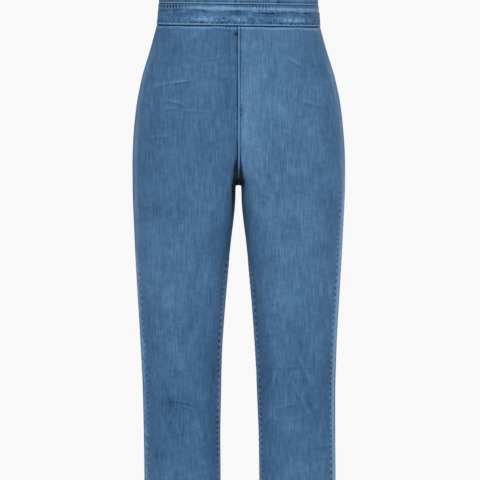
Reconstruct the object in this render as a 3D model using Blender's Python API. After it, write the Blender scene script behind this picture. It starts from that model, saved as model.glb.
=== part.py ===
"""Sleeveless denim jumpsuit with straight ankle-length legs, hollow, as it hangs when worn.

Metres, +Z up. The front faces -Y and the wearer's left is +X. The origin lies between the two
shoulder seams, where the wearer's shoulders hold the garment up.

Every panel is a wall of cloth. Its outer face is worked out from horizontal sections of the
garment, and its inner face is the outer one moved in along the normals. A panel of the wearer's
left is worked out first, and its mirror image gives the right one.
"""
import math

import bmesh
import bpy
import numpy as np

# Cloth
CLOTH = 0.0015
BAND_CLOTH = 0.0026
BAND_PROUD = 0.0006
SEAM_GAP = 0.0003
HALF_GAP = SEAM_GAP / 2

# Levels
NECK_FRONT = -0.095
NECK_BACK = -0.030
ARMHOLE = -0.175
BAND_TOP = -0.3835
BAND_BOTTOM = -0.420
ZIP_END = -0.560
ZIP_STOP = 0.005
FRONT_FORK = -0.655
BACK_FORK = -0.612
CROTCH = -0.6906
HEM = -1.410

# Upper body
NECK_HALF = 0.075
SHOULDER_END = 0.125
SHOULDER_DROP = 0.022
SHOULDER_TURN = 0.120
BUST_X = 0.084
BUST_Z = -0.238
BUST_SPREAD = 0.046
BUST_RISE = 0.012

# The waist is lower in front than at the back, and a little lower on the wearer's left
WAIST_MIDDLE = -0.400
WAIST_SPREAD = 0.090
WAIST_PITCH = 0.079
WAIST_TILT = 0.014

# Roundness of the sections: 2 is an ellipse, and more is squarer
FRONT_ROUND = 2.4
BACK_ROUND = 2.3
SHOULDER_ROUND = 1.8

# Grid of each panel
LEG_COLUMNS = 11
TRUNK_ROWS = 5
SEAT_ROWS = 2
TURN_ROWS = 8
ARCH_ROWS = 4
THIGH_ROWS = 7
KNEE_ROWS = 10
SHIN_ROWS = 9
KNEE_TOP = -0.950
KNEE_BOTTOM = -1.080
BODICE_COLUMNS = 9
BODICE_ROWS = 17
SIDE_ROWS = 9
FRONT_CENTRE_ROWS = 11
BACK_CENTRE_ROWS = 13
BAND_ROWS = 2
EDGE_SAMPLES = 120
SHARP_EDGE = math.radians(50)
TINY = 1e-9

# Zip at the centre back
ZIP_SLOT = 0.004
TAPE_HALF = 0.0105
TAPE_CLOTH = 0.0010
TAPE_DEPTH = 0.0026
TAPE_TOP = -0.034
TAPE_END = -0.572
SLIDER_LEVEL = -0.043
SLIDER_SIZE = (0.0070, 0.0100, 0.0022)
SLIDER_BEVEL = 0.0006
BRIDGE_HALF = 0.0032
BRIDGE_HEIGHT = 0.0033
BRIDGE_BAR = 0.0009
BRIDGE_WIDE = 0.0016
PIVOT_HEIGHT = 0.0012
PULL_THICK = 0.0011
PULL_HALF = 0.0026
PULL_LONG = 0.0230
PULL_NECK = (0.85, 0.35)
PULL_END = 1.15
END_STEPS = 8
EYE_HALF = 0.0013
EYE_LONG = 0.0040

# Finishes: colour, roughness, metallic
DENIM = ((0.068, 0.160, 0.300), 0.85, 0.0)
TAPE = ((0.020, 0.035, 0.070), 0.80, 0.0)
BRASS = ((0.560, 0.400, 0.180), 0.35, 1.0)

# Trousers: level, side seam's distance from the middle, foremost and rearmost y, y of the side
# seam and of the inseam, how far out a leg's oval has its middle (as a share of the width),
# roundness towards the inseam in front and at the back, and how softly the oval turns at its
# seams (1 is round, and less is closer to a fold)
TROUSER_COLUMNS = (
    "z", "outer", "front", "back", "side", "inseam", "middle", "front_round", "back_round", "turn",
)
TROUSERS = (
    (-0.420, 0.1370, -0.090, 0.088, 0.000, 0.020, 0.33, 2.4, 2.3, 1.00),
    (-0.460, 0.1480, -0.097, 0.099, 0.001, 0.020, 0.35, 2.6, 2.4, 1.00),
    (-0.510, 0.1628, -0.104, 0.115, 0.003, 0.020, 0.38, 3.0, 2.5, 1.00),
    (-0.560, 0.1722, -0.107, 0.127, 0.004, 0.020, 0.41, 3.4, 2.6, 1.00),
    (-0.610, 0.1769, -0.107, 0.133, 0.006, 0.020, 0.45, 4.0, 2.7, 1.00),
    (-0.650, 0.1783, -0.105, 0.131, 0.007, 0.020, 0.48, 4.6, 2.8, 1.00),
    (-0.6906, 0.1781, -0.102, 0.125, 0.007, 0.020, 0.50, 5.0, 2.8, 1.00),
    (-0.780, 0.1743, -0.094, 0.107, 0.004, 0.014, 0.50, 3.6, 2.6, 0.92),
    (-0.860, 0.1698, -0.085, 0.091, 0.001, 0.008, 0.50, 3.0, 2.5, 0.82),
    (-0.950, 0.1645, -0.075, 0.078, -0.002, 0.003, 0.50, 2.7, 2.4, 0.74),
    (-1.040, 0.1612, -0.066, 0.071, -0.001, 0.002, 0.50, 2.5, 2.3, 0.70),
    (-1.150, 0.1604, -0.056, 0.071, 0.003, 0.005, 0.50, 2.5, 2.3, 0.68),
    (-1.300, 0.1602, -0.047, 0.073, 0.007, 0.008, 0.50, 2.5, 2.3, 0.66),
    (-1.410, 0.1600, -0.043, 0.074, 0.009, 0.009, 0.50, 2.5, 2.3, 0.66),
)

# Space between the legs: level and half of the gap
GAP_COLUMNS = ("z", "half")
LEG_GAP = (
    (-0.6906, 0.00015),
    (-0.6925, 0.0034),
    (-0.6980, 0.0047),
    (-0.7125, 0.0052),
    (-0.7460, 0.0084),
    (-0.7800, 0.0126),
    (-0.8470, 0.0193),
    (-0.9140, 0.0248),
    (-0.9810, 0.0290),
    (-1.0485, 0.0310),
    (-1.1157, 0.0328),
    (-1.4100, 0.0333),
)

# Lean of the legs towards the wearer's left: level and shift
LEAN_COLUMNS = ("z", "shift")
LEG_LEAN = (
    (-0.950, 0.0000),
    (-1.050, 0.0010),
    (-1.180, 0.0024),
    (-1.410, 0.0034),
)

# Bodice: level, side seam's distance from the middle, foremost and rearmost y. Above the
# armholes the sections run on past the cut edges.
BODICE_COLUMN_NAMES = ("z", "outer", "front", "back")
BODICE = (
    (-0.3835, 0.1336, -0.089, 0.086),
    (-0.3400, 0.1325, -0.093, 0.086),
    (-0.3000, 0.1370, -0.100, 0.089),
    (-0.2400, 0.1500, -0.113, 0.096),
    (-0.1750, 0.1565, -0.111, 0.102),
    (-0.1100, 0.1600, -0.103, 0.102),
    (-0.0500, 0.1640, -0.097, 0.098),
    (0.0000, 0.1660, -0.093, 0.094),
)

# Armhole edges: how far round from the side seam to the middle, and level
ARMHOLE_COLUMNS = ("around", "z")
ARMHOLE_FRONT = (
    (0.000, -0.175),
    (0.140, -0.172),
    (0.280, -0.161),
    (0.420, -0.138),
    (0.505, -0.106),
    (0.530, -0.072),
    (0.518, -0.036),
    (0.496, 0.000),
)
ARMHOLE_BACK = (
    (0.000, -0.175),
    (0.130, -0.171),
    (0.260, -0.156),
    (0.370, -0.128),
    (0.445, -0.094),
    (0.475, -0.060),
    (0.485, -0.028),
    (0.487, 0.000),
)

# Largest folds: panel, middle of the fold, half of its length, lean in degrees, breadth, depth
FOLD_COLUMNS = ("panel", "x", "z", "reach", "lean", "breadth", "depth")
FOLDS = (
    ("leg_front_left", 0.085, -0.988, 0.042, 3, 0.012, 0.0024),
    ("leg_front_left", 0.108, -1.052, 0.034, 24, 0.013, 0.0022),
    ("leg_front_right", -0.091, -1.050, 0.038, -14, 0.012, 0.0024),
    ("leg_front_right", -0.098, -0.975, 0.030, 9, 0.012, 0.0018),
    ("leg_back_left", 0.094, -0.985, 0.052, 9, 0.014, 0.0042),
    ("leg_back_left", 0.102, -1.030, 0.046, -7, 0.013, 0.0034),
    ("leg_back_left", 0.086, -0.722, 0.050, 26, 0.015, 0.0038),
    ("leg_back_right", -0.092, -0.994, 0.050, -11, 0.014, 0.0040),
    ("leg_back_right", -0.100, -1.042, 0.042, 6, 0.013, 0.0030),
    ("leg_back_right", -0.082, -0.730, 0.048, -22, 0.015, 0.0034),
)


def clear_scene():
    """Takes away what a new file holds."""
    for item in list(bpy.data.objects):
        bpy.data.objects.remove(item, do_unlink=True)


def column(table, names, name):
    """One column of a table, as an array."""
    return np.array([row[names.index(name)] for row in table], dtype=float)


def eased(stops, values, at):
    """Smooth curve through a table's values that never swings past them."""
    order = np.argsort(stops)
    x = np.asarray(stops, dtype=float)[order]
    y = np.asarray(values, dtype=float)[order]
    at = np.clip(at, x[0], x[-1])
    rise = np.diff(y) / np.diff(x)
    slope = np.zeros_like(y)
    same_way = rise[:-1] * rise[1:] > 0
    together = np.where(same_way, rise[:-1] + rise[1:], 1.0)
    slope[1:-1] = np.where(same_way, 2 * rise[:-1] * rise[1:] / together, 0.0)
    slope[0] = rise[0]
    slope[-1] = rise[-1]
    i = np.clip(np.searchsorted(x, at, side="right") - 1, 0, len(x) - 2)
    span = x[i + 1] - x[i]
    t = (at - x[i]) / span
    start = (1 + 2 * t) * (1 - t) ** 2 * y[i] + t * (1 - t) ** 2 * span * slope[i]
    return start + t * t * (3 - 2 * t) * y[i + 1] - t * t * (1 - t) * span * slope[i + 1]


def trouser_size(name, z):
    """A size of the trousers at a level."""
    return eased(column(TROUSERS, TROUSER_COLUMNS, "z"), column(TROUSERS, TROUSER_COLUMNS, name), z)


def bodice_size(name, z):
    """A size of the bodice at a level."""
    names = BODICE_COLUMN_NAMES
    return eased(column(BODICE, names, "z"), column(BODICE, names, name), z)


def settle(points):
    """Leans the waist and the legs as they hang, and gives the points their final place."""
    x, y, z = points[..., 0], points[..., 1], points[..., 2]
    near_waist = np.exp(-(((z - WAIST_MIDDLE) / WAIST_SPREAD) ** 2))
    lean = eased(column(LEG_LEAN, LEAN_COLUMNS, "z"), column(LEG_LEAN, LEAN_COLUMNS, "shift"), z)
    moved = z + near_waist * (WAIST_PITCH * y - WAIST_TILT * x)
    return np.stack([x + lean, y, moved], axis=-1)


def inner_edge(z, is_back):
    """Distance from the middle to a trouser panel's inner edge."""
    slot = ZIP_SLOT if is_back and z >= ZIP_END else HALF_GAP
    gap = eased(column(LEG_GAP, GAP_COLUMNS, "z"), column(LEG_GAP, GAP_COLUMNS, "half"), z)
    return slot if z >= CROTCH else float(gap)


def fork_share(z, is_back):
    """How far the centre seam still is from the inseam: 1 on the trunk, 0 from the crotch down."""
    fork = BACK_FORK if is_back else FRONT_FORK
    way = min(max((fork - z) / (fork - CROTCH), 0.0), 1.0)
    return math.sqrt(1 - way * way)


def trouser_row(z, is_back):
    """Points of one horizontal section, from the side seam round to the inner edge.

    Below the crotch it is half of a leg's oval. On the trunk the half oval's inner quarter is
    flat and reaches the middle, and between the two it bends further back from row to row.
    """
    power = BACK_ROUND if is_back else FRONT_ROUND
    inner_power = trouser_size("back_round" if is_back else "front_round", z)
    sign = 1 if is_back else -1
    far = trouser_size("back" if is_back else "front", z)
    side = trouser_size("side", z) + sign * HALF_GAP
    inseam = trouser_size("inseam", z) + sign * HALF_GAP
    inner = inner_edge(z, is_back)
    outer = trouser_size("outer", z)
    middle = inner + (outer - inner) * trouser_size("middle", z)
    turn = trouser_size("turn", z)
    bend = 1 - fork_share(z, is_back) ** inner_power
    angle = np.linspace(0, math.pi, LEG_COLUMNS + 1)
    cosine = np.abs(np.cos(angle))
    is_outer = angle < math.pi / 2
    x = np.where(
        is_outer,
        middle + (outer - middle) * cosine ** (2 / power),
        middle - (middle - inner) * cosine ** (2 / inner_power),
    )
    out = np.where(
        is_outer,
        np.sin(angle) ** (2 / (power * turn)),
        (1 - bend * np.minimum(cosine, 1.0) ** 2) ** (1 / (inner_power * turn)),
    )
    base = side + (inseam - side) * angle / math.pi
    return np.stack([x, base + (far - base) * out, np.full_like(angle, z)], axis=-1)


def trouser_levels():
    """Levels of the rows, closest where the crotch turns and where the knee folds lie."""
    trunk = np.linspace(BAND_BOTTOM - HALF_GAP, ZIP_END + ZIP_STOP, TRUNK_ROWS + 1)
    seat = np.linspace(ZIP_END, BACK_FORK, SEAT_ROWS + 1)
    turn = np.linspace(0, math.pi / 2, TURN_ROWS + 1)[1:]
    fork = BACK_FORK + (CROTCH - BACK_FORK) * np.sin(turn)
    arch = column(LEG_GAP, GAP_COLUMNS, "z")[1:ARCH_ROWS + 1]
    thigh = np.linspace(arch[-1], KNEE_TOP, THIGH_ROWS + 1)[1:]
    knee = np.linspace(KNEE_TOP, KNEE_BOTTOM, KNEE_ROWS + 1)[1:]
    shin = np.linspace(KNEE_BOTTOM, HEM, SHIN_ROWS + 1)[1:]
    return np.concatenate([trunk, seat, fork, arch, thigh, knee, shin])


def trouser_grid(is_back):
    """Outer points of the wearer's left trouser panel, rows from the waist down."""
    return np.stack([trouser_row(z, is_back) for z in trouser_levels()])


def bodice_point(around, level, is_back):
    """Point of the bodice, by its way round from the side seam (0) to the middle (1) and level."""
    power = BACK_ROUND if is_back else FRONT_ROUND
    sign = 1 if is_back else -1
    angle = around * math.pi / 2
    out = math.sin(angle) ** (2 / power)
    x = float(bodice_size("outer", level)) * max(math.cos(angle), 0.0) ** (2 / power)
    depth = abs(float(bodice_size("back" if is_back else "front", level)))
    if not is_back:
        away = (x - BUST_X) ** 2 + (level - BUST_Z) ** 2
        depth += BUST_RISE * math.exp(-away / (2 * BUST_SPREAD ** 2))
    upward = max(1 + level / SHOULDER_TURN, 0.0)
    depth *= (1 - upward ** SHOULDER_ROUND) ** (1 / SHOULDER_ROUND)
    height = (level - BAND_TOP) / -BAND_TOP
    drop = SHOULDER_DROP * (x / SHOULDER_END) ** 3 * height ** 2
    return np.array([x, sign * (HALF_GAP + depth * out), level - drop])


def around_at(x, level, is_back):
    """How far round from the side seam a distance from the middle lies."""
    power = BACK_ROUND if is_back else FRONT_ROUND
    share = min(x / float(bodice_size("outer", level)), 1.0)
    return math.acos(share ** (power / 2)) * 2 / math.pi


def evenly(ways, is_back, steps):
    """Picks points along an edge so that the steps between them have one length."""
    points = np.array([bodice_point(around, level, is_back) for around, level in ways])
    run = np.concatenate([[0], np.cumsum(np.linalg.norm(np.diff(points, axis=0), axis=1))])
    stops = np.linspace(0, run[-1], steps + 1)
    return np.stack([np.interp(stops, run, ways[:, k]) for k in (0, 1)], axis=-1)


def side_edge(is_back):
    """Outer edge of a bodice panel: up the side seam, then round the armhole."""
    bottom = BAND_TOP + HALF_GAP
    seam = np.stack([np.zeros(SIDE_ROWS + 1), np.linspace(bottom, ARMHOLE, SIDE_ROWS + 1)], axis=-1)
    table = ARMHOLE_BACK if is_back else ARMHOLE_FRONT
    stops = np.arange(len(table))
    fine = np.linspace(0, len(table) - 1, EDGE_SAMPLES)
    ways = [eased(stops, column(table, ARMHOLE_COLUMNS, name), fine) for name in ARMHOLE_COLUMNS]
    armhole = evenly(np.stack(ways, axis=-1), is_back, BODICE_ROWS - SIDE_ROWS)
    return np.concatenate([seam, armhole[1:]])


def centre_edge(is_back):
    """Inner edge of a bodice panel: up the middle, then round the neck to the shoulder."""
    edge = ZIP_SLOT if is_back else HALF_GAP
    depth = NECK_BACK if is_back else NECK_FRONT
    rows = BACK_CENTRE_ROWS if is_back else FRONT_CENTRE_ROWS
    levels = np.linspace(BAND_TOP + HALF_GAP, depth, rows + 1)
    seam = np.array([(around_at(edge, level, is_back), level) for level in levels])
    ways = []
    for turn in np.linspace(0, math.pi / 2, EDGE_SAMPLES):
        x = edge + (NECK_HALF - edge) * math.sin(turn)
        level = depth * math.cos(turn)
        ways.append((around_at(x, level, is_back), level))
    neck = evenly(np.array(ways), is_back, BODICE_ROWS - rows)
    return np.concatenate([seam, neck[1:]])


def bodice_grid(is_back):
    """Outer points of the wearer's left bodice panel, rows from the shoulder down."""
    share = np.linspace(0, 1, BODICE_COLUMNS + 1)
    rows = []
    for start, end in zip(side_edge(is_back)[::-1], centre_edge(is_back)[::-1]):
        ways = start + share[:, None] * (end - start)
        rows.append([bodice_point(around, level, is_back) for around, level in ways])
    return np.array(rows)


def band_grid(is_back):
    """Outer points of the wearer's left half of the waistband, rows from its top down."""
    power = BACK_ROUND if is_back else FRONT_ROUND
    bottom = trouser_row(BAND_BOTTOM, is_back)
    bottom[-1, 0] = ZIP_SLOT if is_back else 0.0
    across = bottom[:, 0] / bottom[0, 0]
    out = bottom[:, 1] / bottom[-1, 1]
    around = np.arctan2(out ** (power / 2), across ** (power / 2)) * 2 / math.pi
    top = np.array([bodice_point(way, BAND_TOP, is_back) for way in around])
    top[-1, 0] = bottom[-1, 0]
    rows = []
    for share in np.linspace(0, 1, BAND_ROWS + 1):
        row = top + (bottom - top) * share
        row[:, 2] = BAND_TOP - HALF_GAP + (BAND_BOTTOM - BAND_TOP + SEAM_GAP) * share
        rows.append(row)
    return np.array(rows)


def outward(grid, is_back):
    """Directions that point away from the wearer at a left panel's points, of any length.

    At the middle they keep to the panel's own side, and at the side seam they don't lean to the
    front or back, so that the walls of two panels meet edge to edge.
    """
    down = np.gradient(grid, axis=0)
    inward = np.gradient(grid, axis=1)
    away = np.cross(down, inward) if is_back else np.cross(inward, down)
    away[:, -1, 0] = np.minimum(away[:, -1, 0], 0)
    away[:, 0, 1] = 0
    return away


def unit(vectors):
    """The same directions with length one."""
    return vectors / np.linalg.norm(vectors, axis=-1, keepdims=True)


def mirrored(vectors):
    """The same vectors on the wearer's other side."""
    return vectors * np.array([-1.0, 1.0, 1.0])


def folded(name, grid, normals):
    """Presses the panel's largest folds into its outer face, as soft troughs."""
    for row in FOLDS:
        fold = dict(zip(FOLD_COLUMNS, row))
        if fold["panel"] != name:
            continue
        lean = math.radians(fold["lean"])
        across = grid[..., 0] - fold["x"]
        up = grid[..., 2] - fold["z"]
        along = across * math.cos(lean) + up * math.sin(lean)
        aside = up * math.cos(lean) - across * math.sin(lean)
        fade = np.exp(-((along / fold["reach"]) ** 4) - (aside / fold["breadth"]) ** 2)
        grid = grid - normals * (fold["depth"] * fade)[..., None]
    return grid


def make_material(name, finish):
    """A plain finish from its colour, roughness and metallic value."""
    colour, roughness, metallic = finish
    material = bpy.data.materials.new(name)
    material.use_nodes = True
    shader = material.node_tree.nodes["Principled BSDF"]
    shader.inputs["Base Color"].default_value = (*colour, 1.0)
    shader.inputs["Roughness"].default_value = roughness
    shader.inputs["Metallic"].default_value = metallic
    material.diffuse_color = (*colour, 1.0)
    return material


def add_object(name, mesh, finish):
    """Puts a mesh in the scene as a named sub-part with its own material."""
    mesh.materials.append(make_material(name, finish))
    item = bpy.data.objects.new(name, mesh)
    bpy.context.scene.collection.objects.link(item)
    return item


def add_wall(name, outer, inner, finish):
    """Closes an outer and an inner grid into one wall with a rim."""
    rows, columns = outer.shape[:2]
    count = rows * columns
    points = np.concatenate([outer.reshape(-1, 3), inner.reshape(-1, 3)])
    faces = []
    for i in range(rows - 1):
        for j in range(columns - 1):
            a = i * columns + j
            quad = (a, a + 1, a + columns + 1, a + columns)
            faces.append(quad)
            faces.append(tuple(count + k for k in reversed(quad)))
    rim = list(range(columns))
    rim += [i * columns + columns - 1 for i in range(1, rows)]
    rim += [(rows - 1) * columns + j for j in range(columns - 2, -1, -1)]
    rim += [i * columns for i in range(rows - 2, 0, -1)]
    for a, b in zip(rim, rim[1:] + rim[:1]):
        faces.append((b, a, count + a, count + b))
    mesh = bpy.data.meshes.new(name)
    mesh.from_pydata([tuple(point) for point in points], [], faces)
    shape = bmesh.new()
    shape.from_mesh(mesh)
    bmesh.ops.recalc_face_normals(shape, faces=shape.faces)
    shape.to_mesh(mesh)
    shape.free()
    mesh.shade_smooth()
    mesh.set_sharp_from_angle(angle=SHARP_EDGE)
    return add_object(name, mesh, finish)


def add_panel(name, grid, normals, is_right, thickness=CLOTH):
    """Makes a denim panel from the wearer's left grid, mirrored for the right."""
    if is_right:
        grid, normals = mirrored(grid), mirrored(normals)
    grid = folded(name, grid, normals)
    return add_wall(name, settle(grid), settle(grid - normals * thickness), DENIM)


def make_legs():
    """Four trouser panels, each from the waist to the hem."""
    for face in ("front", "back"):
        is_back = face == "back"
        grid = trouser_grid(is_back)
        normals = outward(grid, is_back)
        below = grid[:, -1, 2] <= CROTCH
        normals[below, -1, 1] = 0
        normals[0, :, 2] = 0
        normals = unit(normals)
        add_panel(f"leg_{face}_left", grid, normals, is_right=False)
        add_panel(f"leg_{face}_right", grid, normals, is_right=True)


def make_bodice():
    """Four bodice panels, each from the shoulder to the waistband."""
    for face in ("front", "back"):
        is_back = face == "back"
        grid = bodice_grid(is_back)
        normals = outward(grid, is_back)
        normals[0, :, 1] = 0
        normals[-1, :, 2] = 0
        normals = unit(normals)
        add_panel(f"bodice_{face}_left", grid, normals, is_right=False)
        add_panel(f"bodice_{face}_right", grid, normals, is_right=True)


def make_waistband():
    """Front waistband in one piece, and a back one on each side of the zip."""
    for face in ("front", "back"):
        is_back = face == "back"
        grid = band_grid(is_back)
        normals = outward(grid, is_back)
        normals[..., 2] = 0
        normals = unit(normals)
        grid = grid + normals * BAND_PROUD
        if is_back:
            add_panel("waistband_back_left", grid, normals, False, BAND_CLOTH)
            add_panel("waistband_back_right", grid, normals, True, BAND_CLOTH)
        else:
            whole = np.concatenate([grid, mirrored(grid)[:, -2::-1]], axis=1)
            whole_normals = np.concatenate([normals, mirrored(normals)[:, -2::-1]], axis=1)
            add_panel("waistband_front", whole, whole_normals, False, BAND_CLOTH)


def centre_back():
    """Levels and y of the garment's outer face down the middle of the back, as far as the tape."""
    points = []
    for around, level in centre_edge(True)[::-1]:
        if level <= NECK_BACK and around_at(ZIP_SLOT, level, True) <= around + TINY:
            points.append(bodice_point(1.0, level, True)[1:])
    for z in trouser_levels():
        if z > TAPE_END:
            points.append(np.array([trouser_size("back", z), z]))
    points.append(np.array([trouser_size("back", TAPE_END), TAPE_END]))
    return np.array(points)


def make_zip_tape():
    """Tape behind the slot in the centre back, from the neck to below the zip's end."""
    profile = centre_back()
    profile[0, 1] = TAPE_TOP
    along = np.gradient(profile, axis=0)
    normals = unit(np.stack([-along[:, 1], along[:, 0]], axis=-1))
    faces = []
    for depth in (TAPE_DEPTH, TAPE_DEPTH + TAPE_CLOTH):
        line = profile - normals * depth
        sides = [np.insert(line, 0, x, axis=1) for x in (TAPE_HALF, 0.0, -TAPE_HALF)]
        faces.append(settle(np.stack(sides, axis=1)))
    add_wall("zip_tape", faces[0], faces[1], TAPE)


def slider_place():
    """Where the slider's face lies on the centre back, and how far it leans."""
    rises = (-SLIDER_SIZE[1] / 2, 0.0, SLIDER_SIZE[1] / 2)
    ends = [bodice_point(1.0, SLIDER_LEVEL + rise, True) for rise in rises]
    below, middle, above = [settle(point) for point in ends]
    middle[0] = 0.0
    return middle, math.atan2(below[1] - above[1], above[2] - below[2])


def add_box(name, size, bevel, finish):
    """A box with rounded edges, whose outer face (+Y) lies at its origin."""
    shape = bmesh.new()
    bmesh.ops.create_cube(shape, size=1.0)
    wide, tall, thick = size
    bmesh.ops.scale(shape, vec=(wide, thick, tall), verts=shape.verts)
    bmesh.ops.bevel(shape, geom=shape.edges[:], offset=bevel, segments=2, affect="EDGES", profile=0.5)
    bmesh.ops.translate(shape, vec=(0, -thick / 2, 0), verts=shape.verts)
    mesh = bpy.data.meshes.new(name)
    shape.to_mesh(mesh)
    shape.free()
    return add_object(name, mesh, finish)


def add_outline(name, outline, axis, half_thickness, finish):
    """A flat outline made thick to both sides along an axis (0 is X, 1 is Y)."""
    shape = bmesh.new()
    corners = []
    for first, second in outline:
        place = (-half_thickness, first, second) if axis == 0 else (first, -half_thickness, second)
        corners.append(shape.verts.new(place))
    face = shape.faces.new(corners)
    grown = bmesh.ops.extrude_face_region(shape, geom=[face])
    moved = [item for item in grown["geom"] if isinstance(item, bmesh.types.BMVert)]
    push = (2 * half_thickness, 0, 0) if axis == 0 else (0, 2 * half_thickness, 0)
    bmesh.ops.translate(shape, vec=push, verts=moved)
    bmesh.ops.recalc_face_normals(shape, faces=shape.faces)
    mesh = bpy.data.meshes.new(name)
    shape.to_mesh(mesh)
    shape.free()
    return add_object(name, mesh, finish)


def use_boolean(item, cutter, operation):
    """Joins or cuts an object with another one, which then stays out of the model."""
    cutter.hide_render = True
    cutter.display_type = "WIRE"
    modifier = item.modifiers.new(operation.lower(), "BOOLEAN")
    modifier.operation = operation
    modifier.object = cutter


def bridge_outline():
    """Side view of the slider's bridge, an arch with bevelled shoulders."""
    foot = -SLIDER_BEVEL
    corner = BRIDGE_BAR
    inside = BRIDGE_HALF - BRIDGE_BAR
    top = BRIDGE_HEIGHT - BRIDGE_BAR
    outer = [
        (foot, BRIDGE_HALF),
        (BRIDGE_HEIGHT - corner, BRIDGE_HALF),
        (BRIDGE_HEIGHT, BRIDGE_HALF - corner),
    ]
    inner = [(foot, inside), (top - corner / 2, inside), (top, inside - corner / 2)]
    lower = [(y, -z) for y, z in outer[::-1]] + [(y, -z) for y, z in inner]
    return outer + lower + inner[::-1]


def pull_outline():
    """Front view of the pull tab, square at the pivot and round at its free end."""
    top = PULL_THICK / 2
    wide = PULL_HALF * PULL_END
    centre = -PULL_LONG + wide
    neck = PULL_HALF * PULL_NECK[0]
    neck_level = -PULL_LONG * PULL_NECK[1]
    outline = [(PULL_HALF, top), (-PULL_HALF, top), (-neck, neck_level)]
    for turn in np.linspace(math.pi, 2 * math.pi, END_STEPS + 1):
        outline.append((wide * math.cos(turn), centre + wide * math.sin(turn)))
    return outline + [(neck, neck_level)]


def make_slider():
    """Slider at the top of the zip, with a bridge that holds the pull tab."""
    place, lean = slider_place()
    slider = add_box("zip_slider", SLIDER_SIZE, SLIDER_BEVEL, BRASS)
    bridge = add_outline("zip_bridge_shape", bridge_outline(), 0, BRIDGE_WIDE / 2, BRASS)
    bridge.parent = slider
    use_boolean(slider, bridge, "UNION")
    slider.location = place
    slider.rotation_euler = (lean, 0, 0)
    return slider


def make_pull(slider):
    """Pull tab, whose eye goes round the slider's bridge. Its origin is on the pivot's axis."""
    pull = add_outline("zip_pull", pull_outline(), 1, PULL_THICK / 2, BRASS)
    half_bar = PULL_THICK / 2
    eye = [
        (EYE_HALF, -half_bar),
        (-EYE_HALF, -half_bar),
        (-EYE_HALF, -half_bar - EYE_LONG),
        (EYE_HALF, -half_bar - EYE_LONG),
    ]
    eye_shape = add_outline("zip_eye_shape", eye, 1, PULL_THICK, BRASS)
    eye_shape.parent = pull
    use_boolean(pull, eye_shape, "DIFFERENCE")
    pull.parent = slider
    pull.location = (0, PIVOT_HEIGHT, 0)
    return pull


def main():
    """Builds the whole garment."""
    clear_scene()
    make_bodice()
    make_waistband()
    make_legs()
    make_zip_tape()
    make_pull(make_slider())


main()
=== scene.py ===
"""Finish of a sleeveless denim jumpsuit: fine cloth, sewing, zip, floor, light and camera.

Metres, in the model's own frame: +Z up, the front faces -Y and the wearer's left is +X.
Every panel is a thin wall on its solid's form. Relief is pressed into its outer face: seams,
hems, puckers and creases. The same relief drives how worn the denim looks, and where shade and
light are painted into its colour at the crotch and along the leg seams.
"""
import math

import bpy
import numpy as np
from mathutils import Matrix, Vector
from mathutils.bvhtree import BVHTree


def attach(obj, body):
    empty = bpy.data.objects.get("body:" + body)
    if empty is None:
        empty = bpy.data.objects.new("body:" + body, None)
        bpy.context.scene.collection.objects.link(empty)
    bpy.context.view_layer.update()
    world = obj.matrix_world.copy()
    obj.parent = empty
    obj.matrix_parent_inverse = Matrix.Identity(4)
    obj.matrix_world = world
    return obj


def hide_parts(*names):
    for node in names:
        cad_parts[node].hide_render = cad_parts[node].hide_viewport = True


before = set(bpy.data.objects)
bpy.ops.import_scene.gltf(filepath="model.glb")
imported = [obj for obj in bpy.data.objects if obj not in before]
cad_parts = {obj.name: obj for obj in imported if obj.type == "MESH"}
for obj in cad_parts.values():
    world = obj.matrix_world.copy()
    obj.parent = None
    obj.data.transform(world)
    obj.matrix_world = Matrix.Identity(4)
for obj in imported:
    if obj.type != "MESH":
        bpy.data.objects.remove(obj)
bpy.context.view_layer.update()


def table(names, *rows):
    """Columns of a table, by name."""
    return dict(zip(names.split(), np.array(rows, dtype=float).T))


# The photograph's frame
PIXEL = 0.00168
FRAME_PIXELS = 480
SENSOR = 36.0
CAMERA_PLACE = (0.0025, -5.0, -0.7797)
CAMERA_REACH = 200.0

# Denim: brightness of its deepest places as a share of the dark blue, tone where the dark blue
# itself begins, its two blues, and the twill's pitch
DEEP = 0.12
DARK_SHARE = 0.14
DARK_BLUE = (0.0232, 0.0745, 0.17)
PALE_BLUE = (0.176, 0.336, 0.545)
TWILL_PITCH = 0.0011

# Floor and light
FLOOR = -1.5
FLOOR_RADIUS = 3.6
FLOOR_SIDES = 96
BACKDROP = 0.94
AMBIENT = 0.36
LIGHTS = (
    ("key", (-0.35, -1.0, 0.35), 0.86, 45.0),
    ("fill", (0.6, -1.0, 0.15), 0.53, 45.0),
    ("back", (0.3, 1.0, 0.35), 1.25, 45.0),
    ("top", (0.0, -0.25, 1.0), 1.05, 60.0),
)

# Cloth
CLOTH = 0.0012
LINED = 0.0019
BAND_CLOTH = 0.0024
BAND_PROUD = 0.0006
DEEPEST = 0.0008
MIDDLE = 0.00002
# Share of the wear and painted light and shade that the inner face gets
INNER_WEAR_AND_PAINTED_LIGHT = 0.3
SHARP_EDGE = math.radians(60)
MIRROR = np.array([-1.0, 1.0, 1.0])

# Levels
NECK_FRONT = -0.095
NECK_BACK = -0.03
ARMHOLE = -0.175
BAND_TOP = -0.3835
BAND_BOTTOM = -0.42
ZIP_END = -0.56
FRONT_FORK = -0.655
BACK_FORK = -0.612
CROTCH = -0.6868
ARCH_END = -0.7125
ARCH_HALF = 0.0054
ARCH_REACH = 8
HEM = -1.41

# Upper body
NECK_HALF = 0.075
SHOULDER_END = 0.125
SHOULDER_DROP = 0.022
SHOULDER_TURN = 0.12
BUST_X = 0.084
BUST_Z = -0.238
BUST_SPREAD = 0.046
BUST_RISE = 0.012

# The waist is lower in front than at the back, and a little lower on the wearer's left
WAIST_MIDDLE = -0.4
WAIST_SPREAD = 0.09
WAIST_PITCH = 0.079
WAIST_TILT = 0.014

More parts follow.
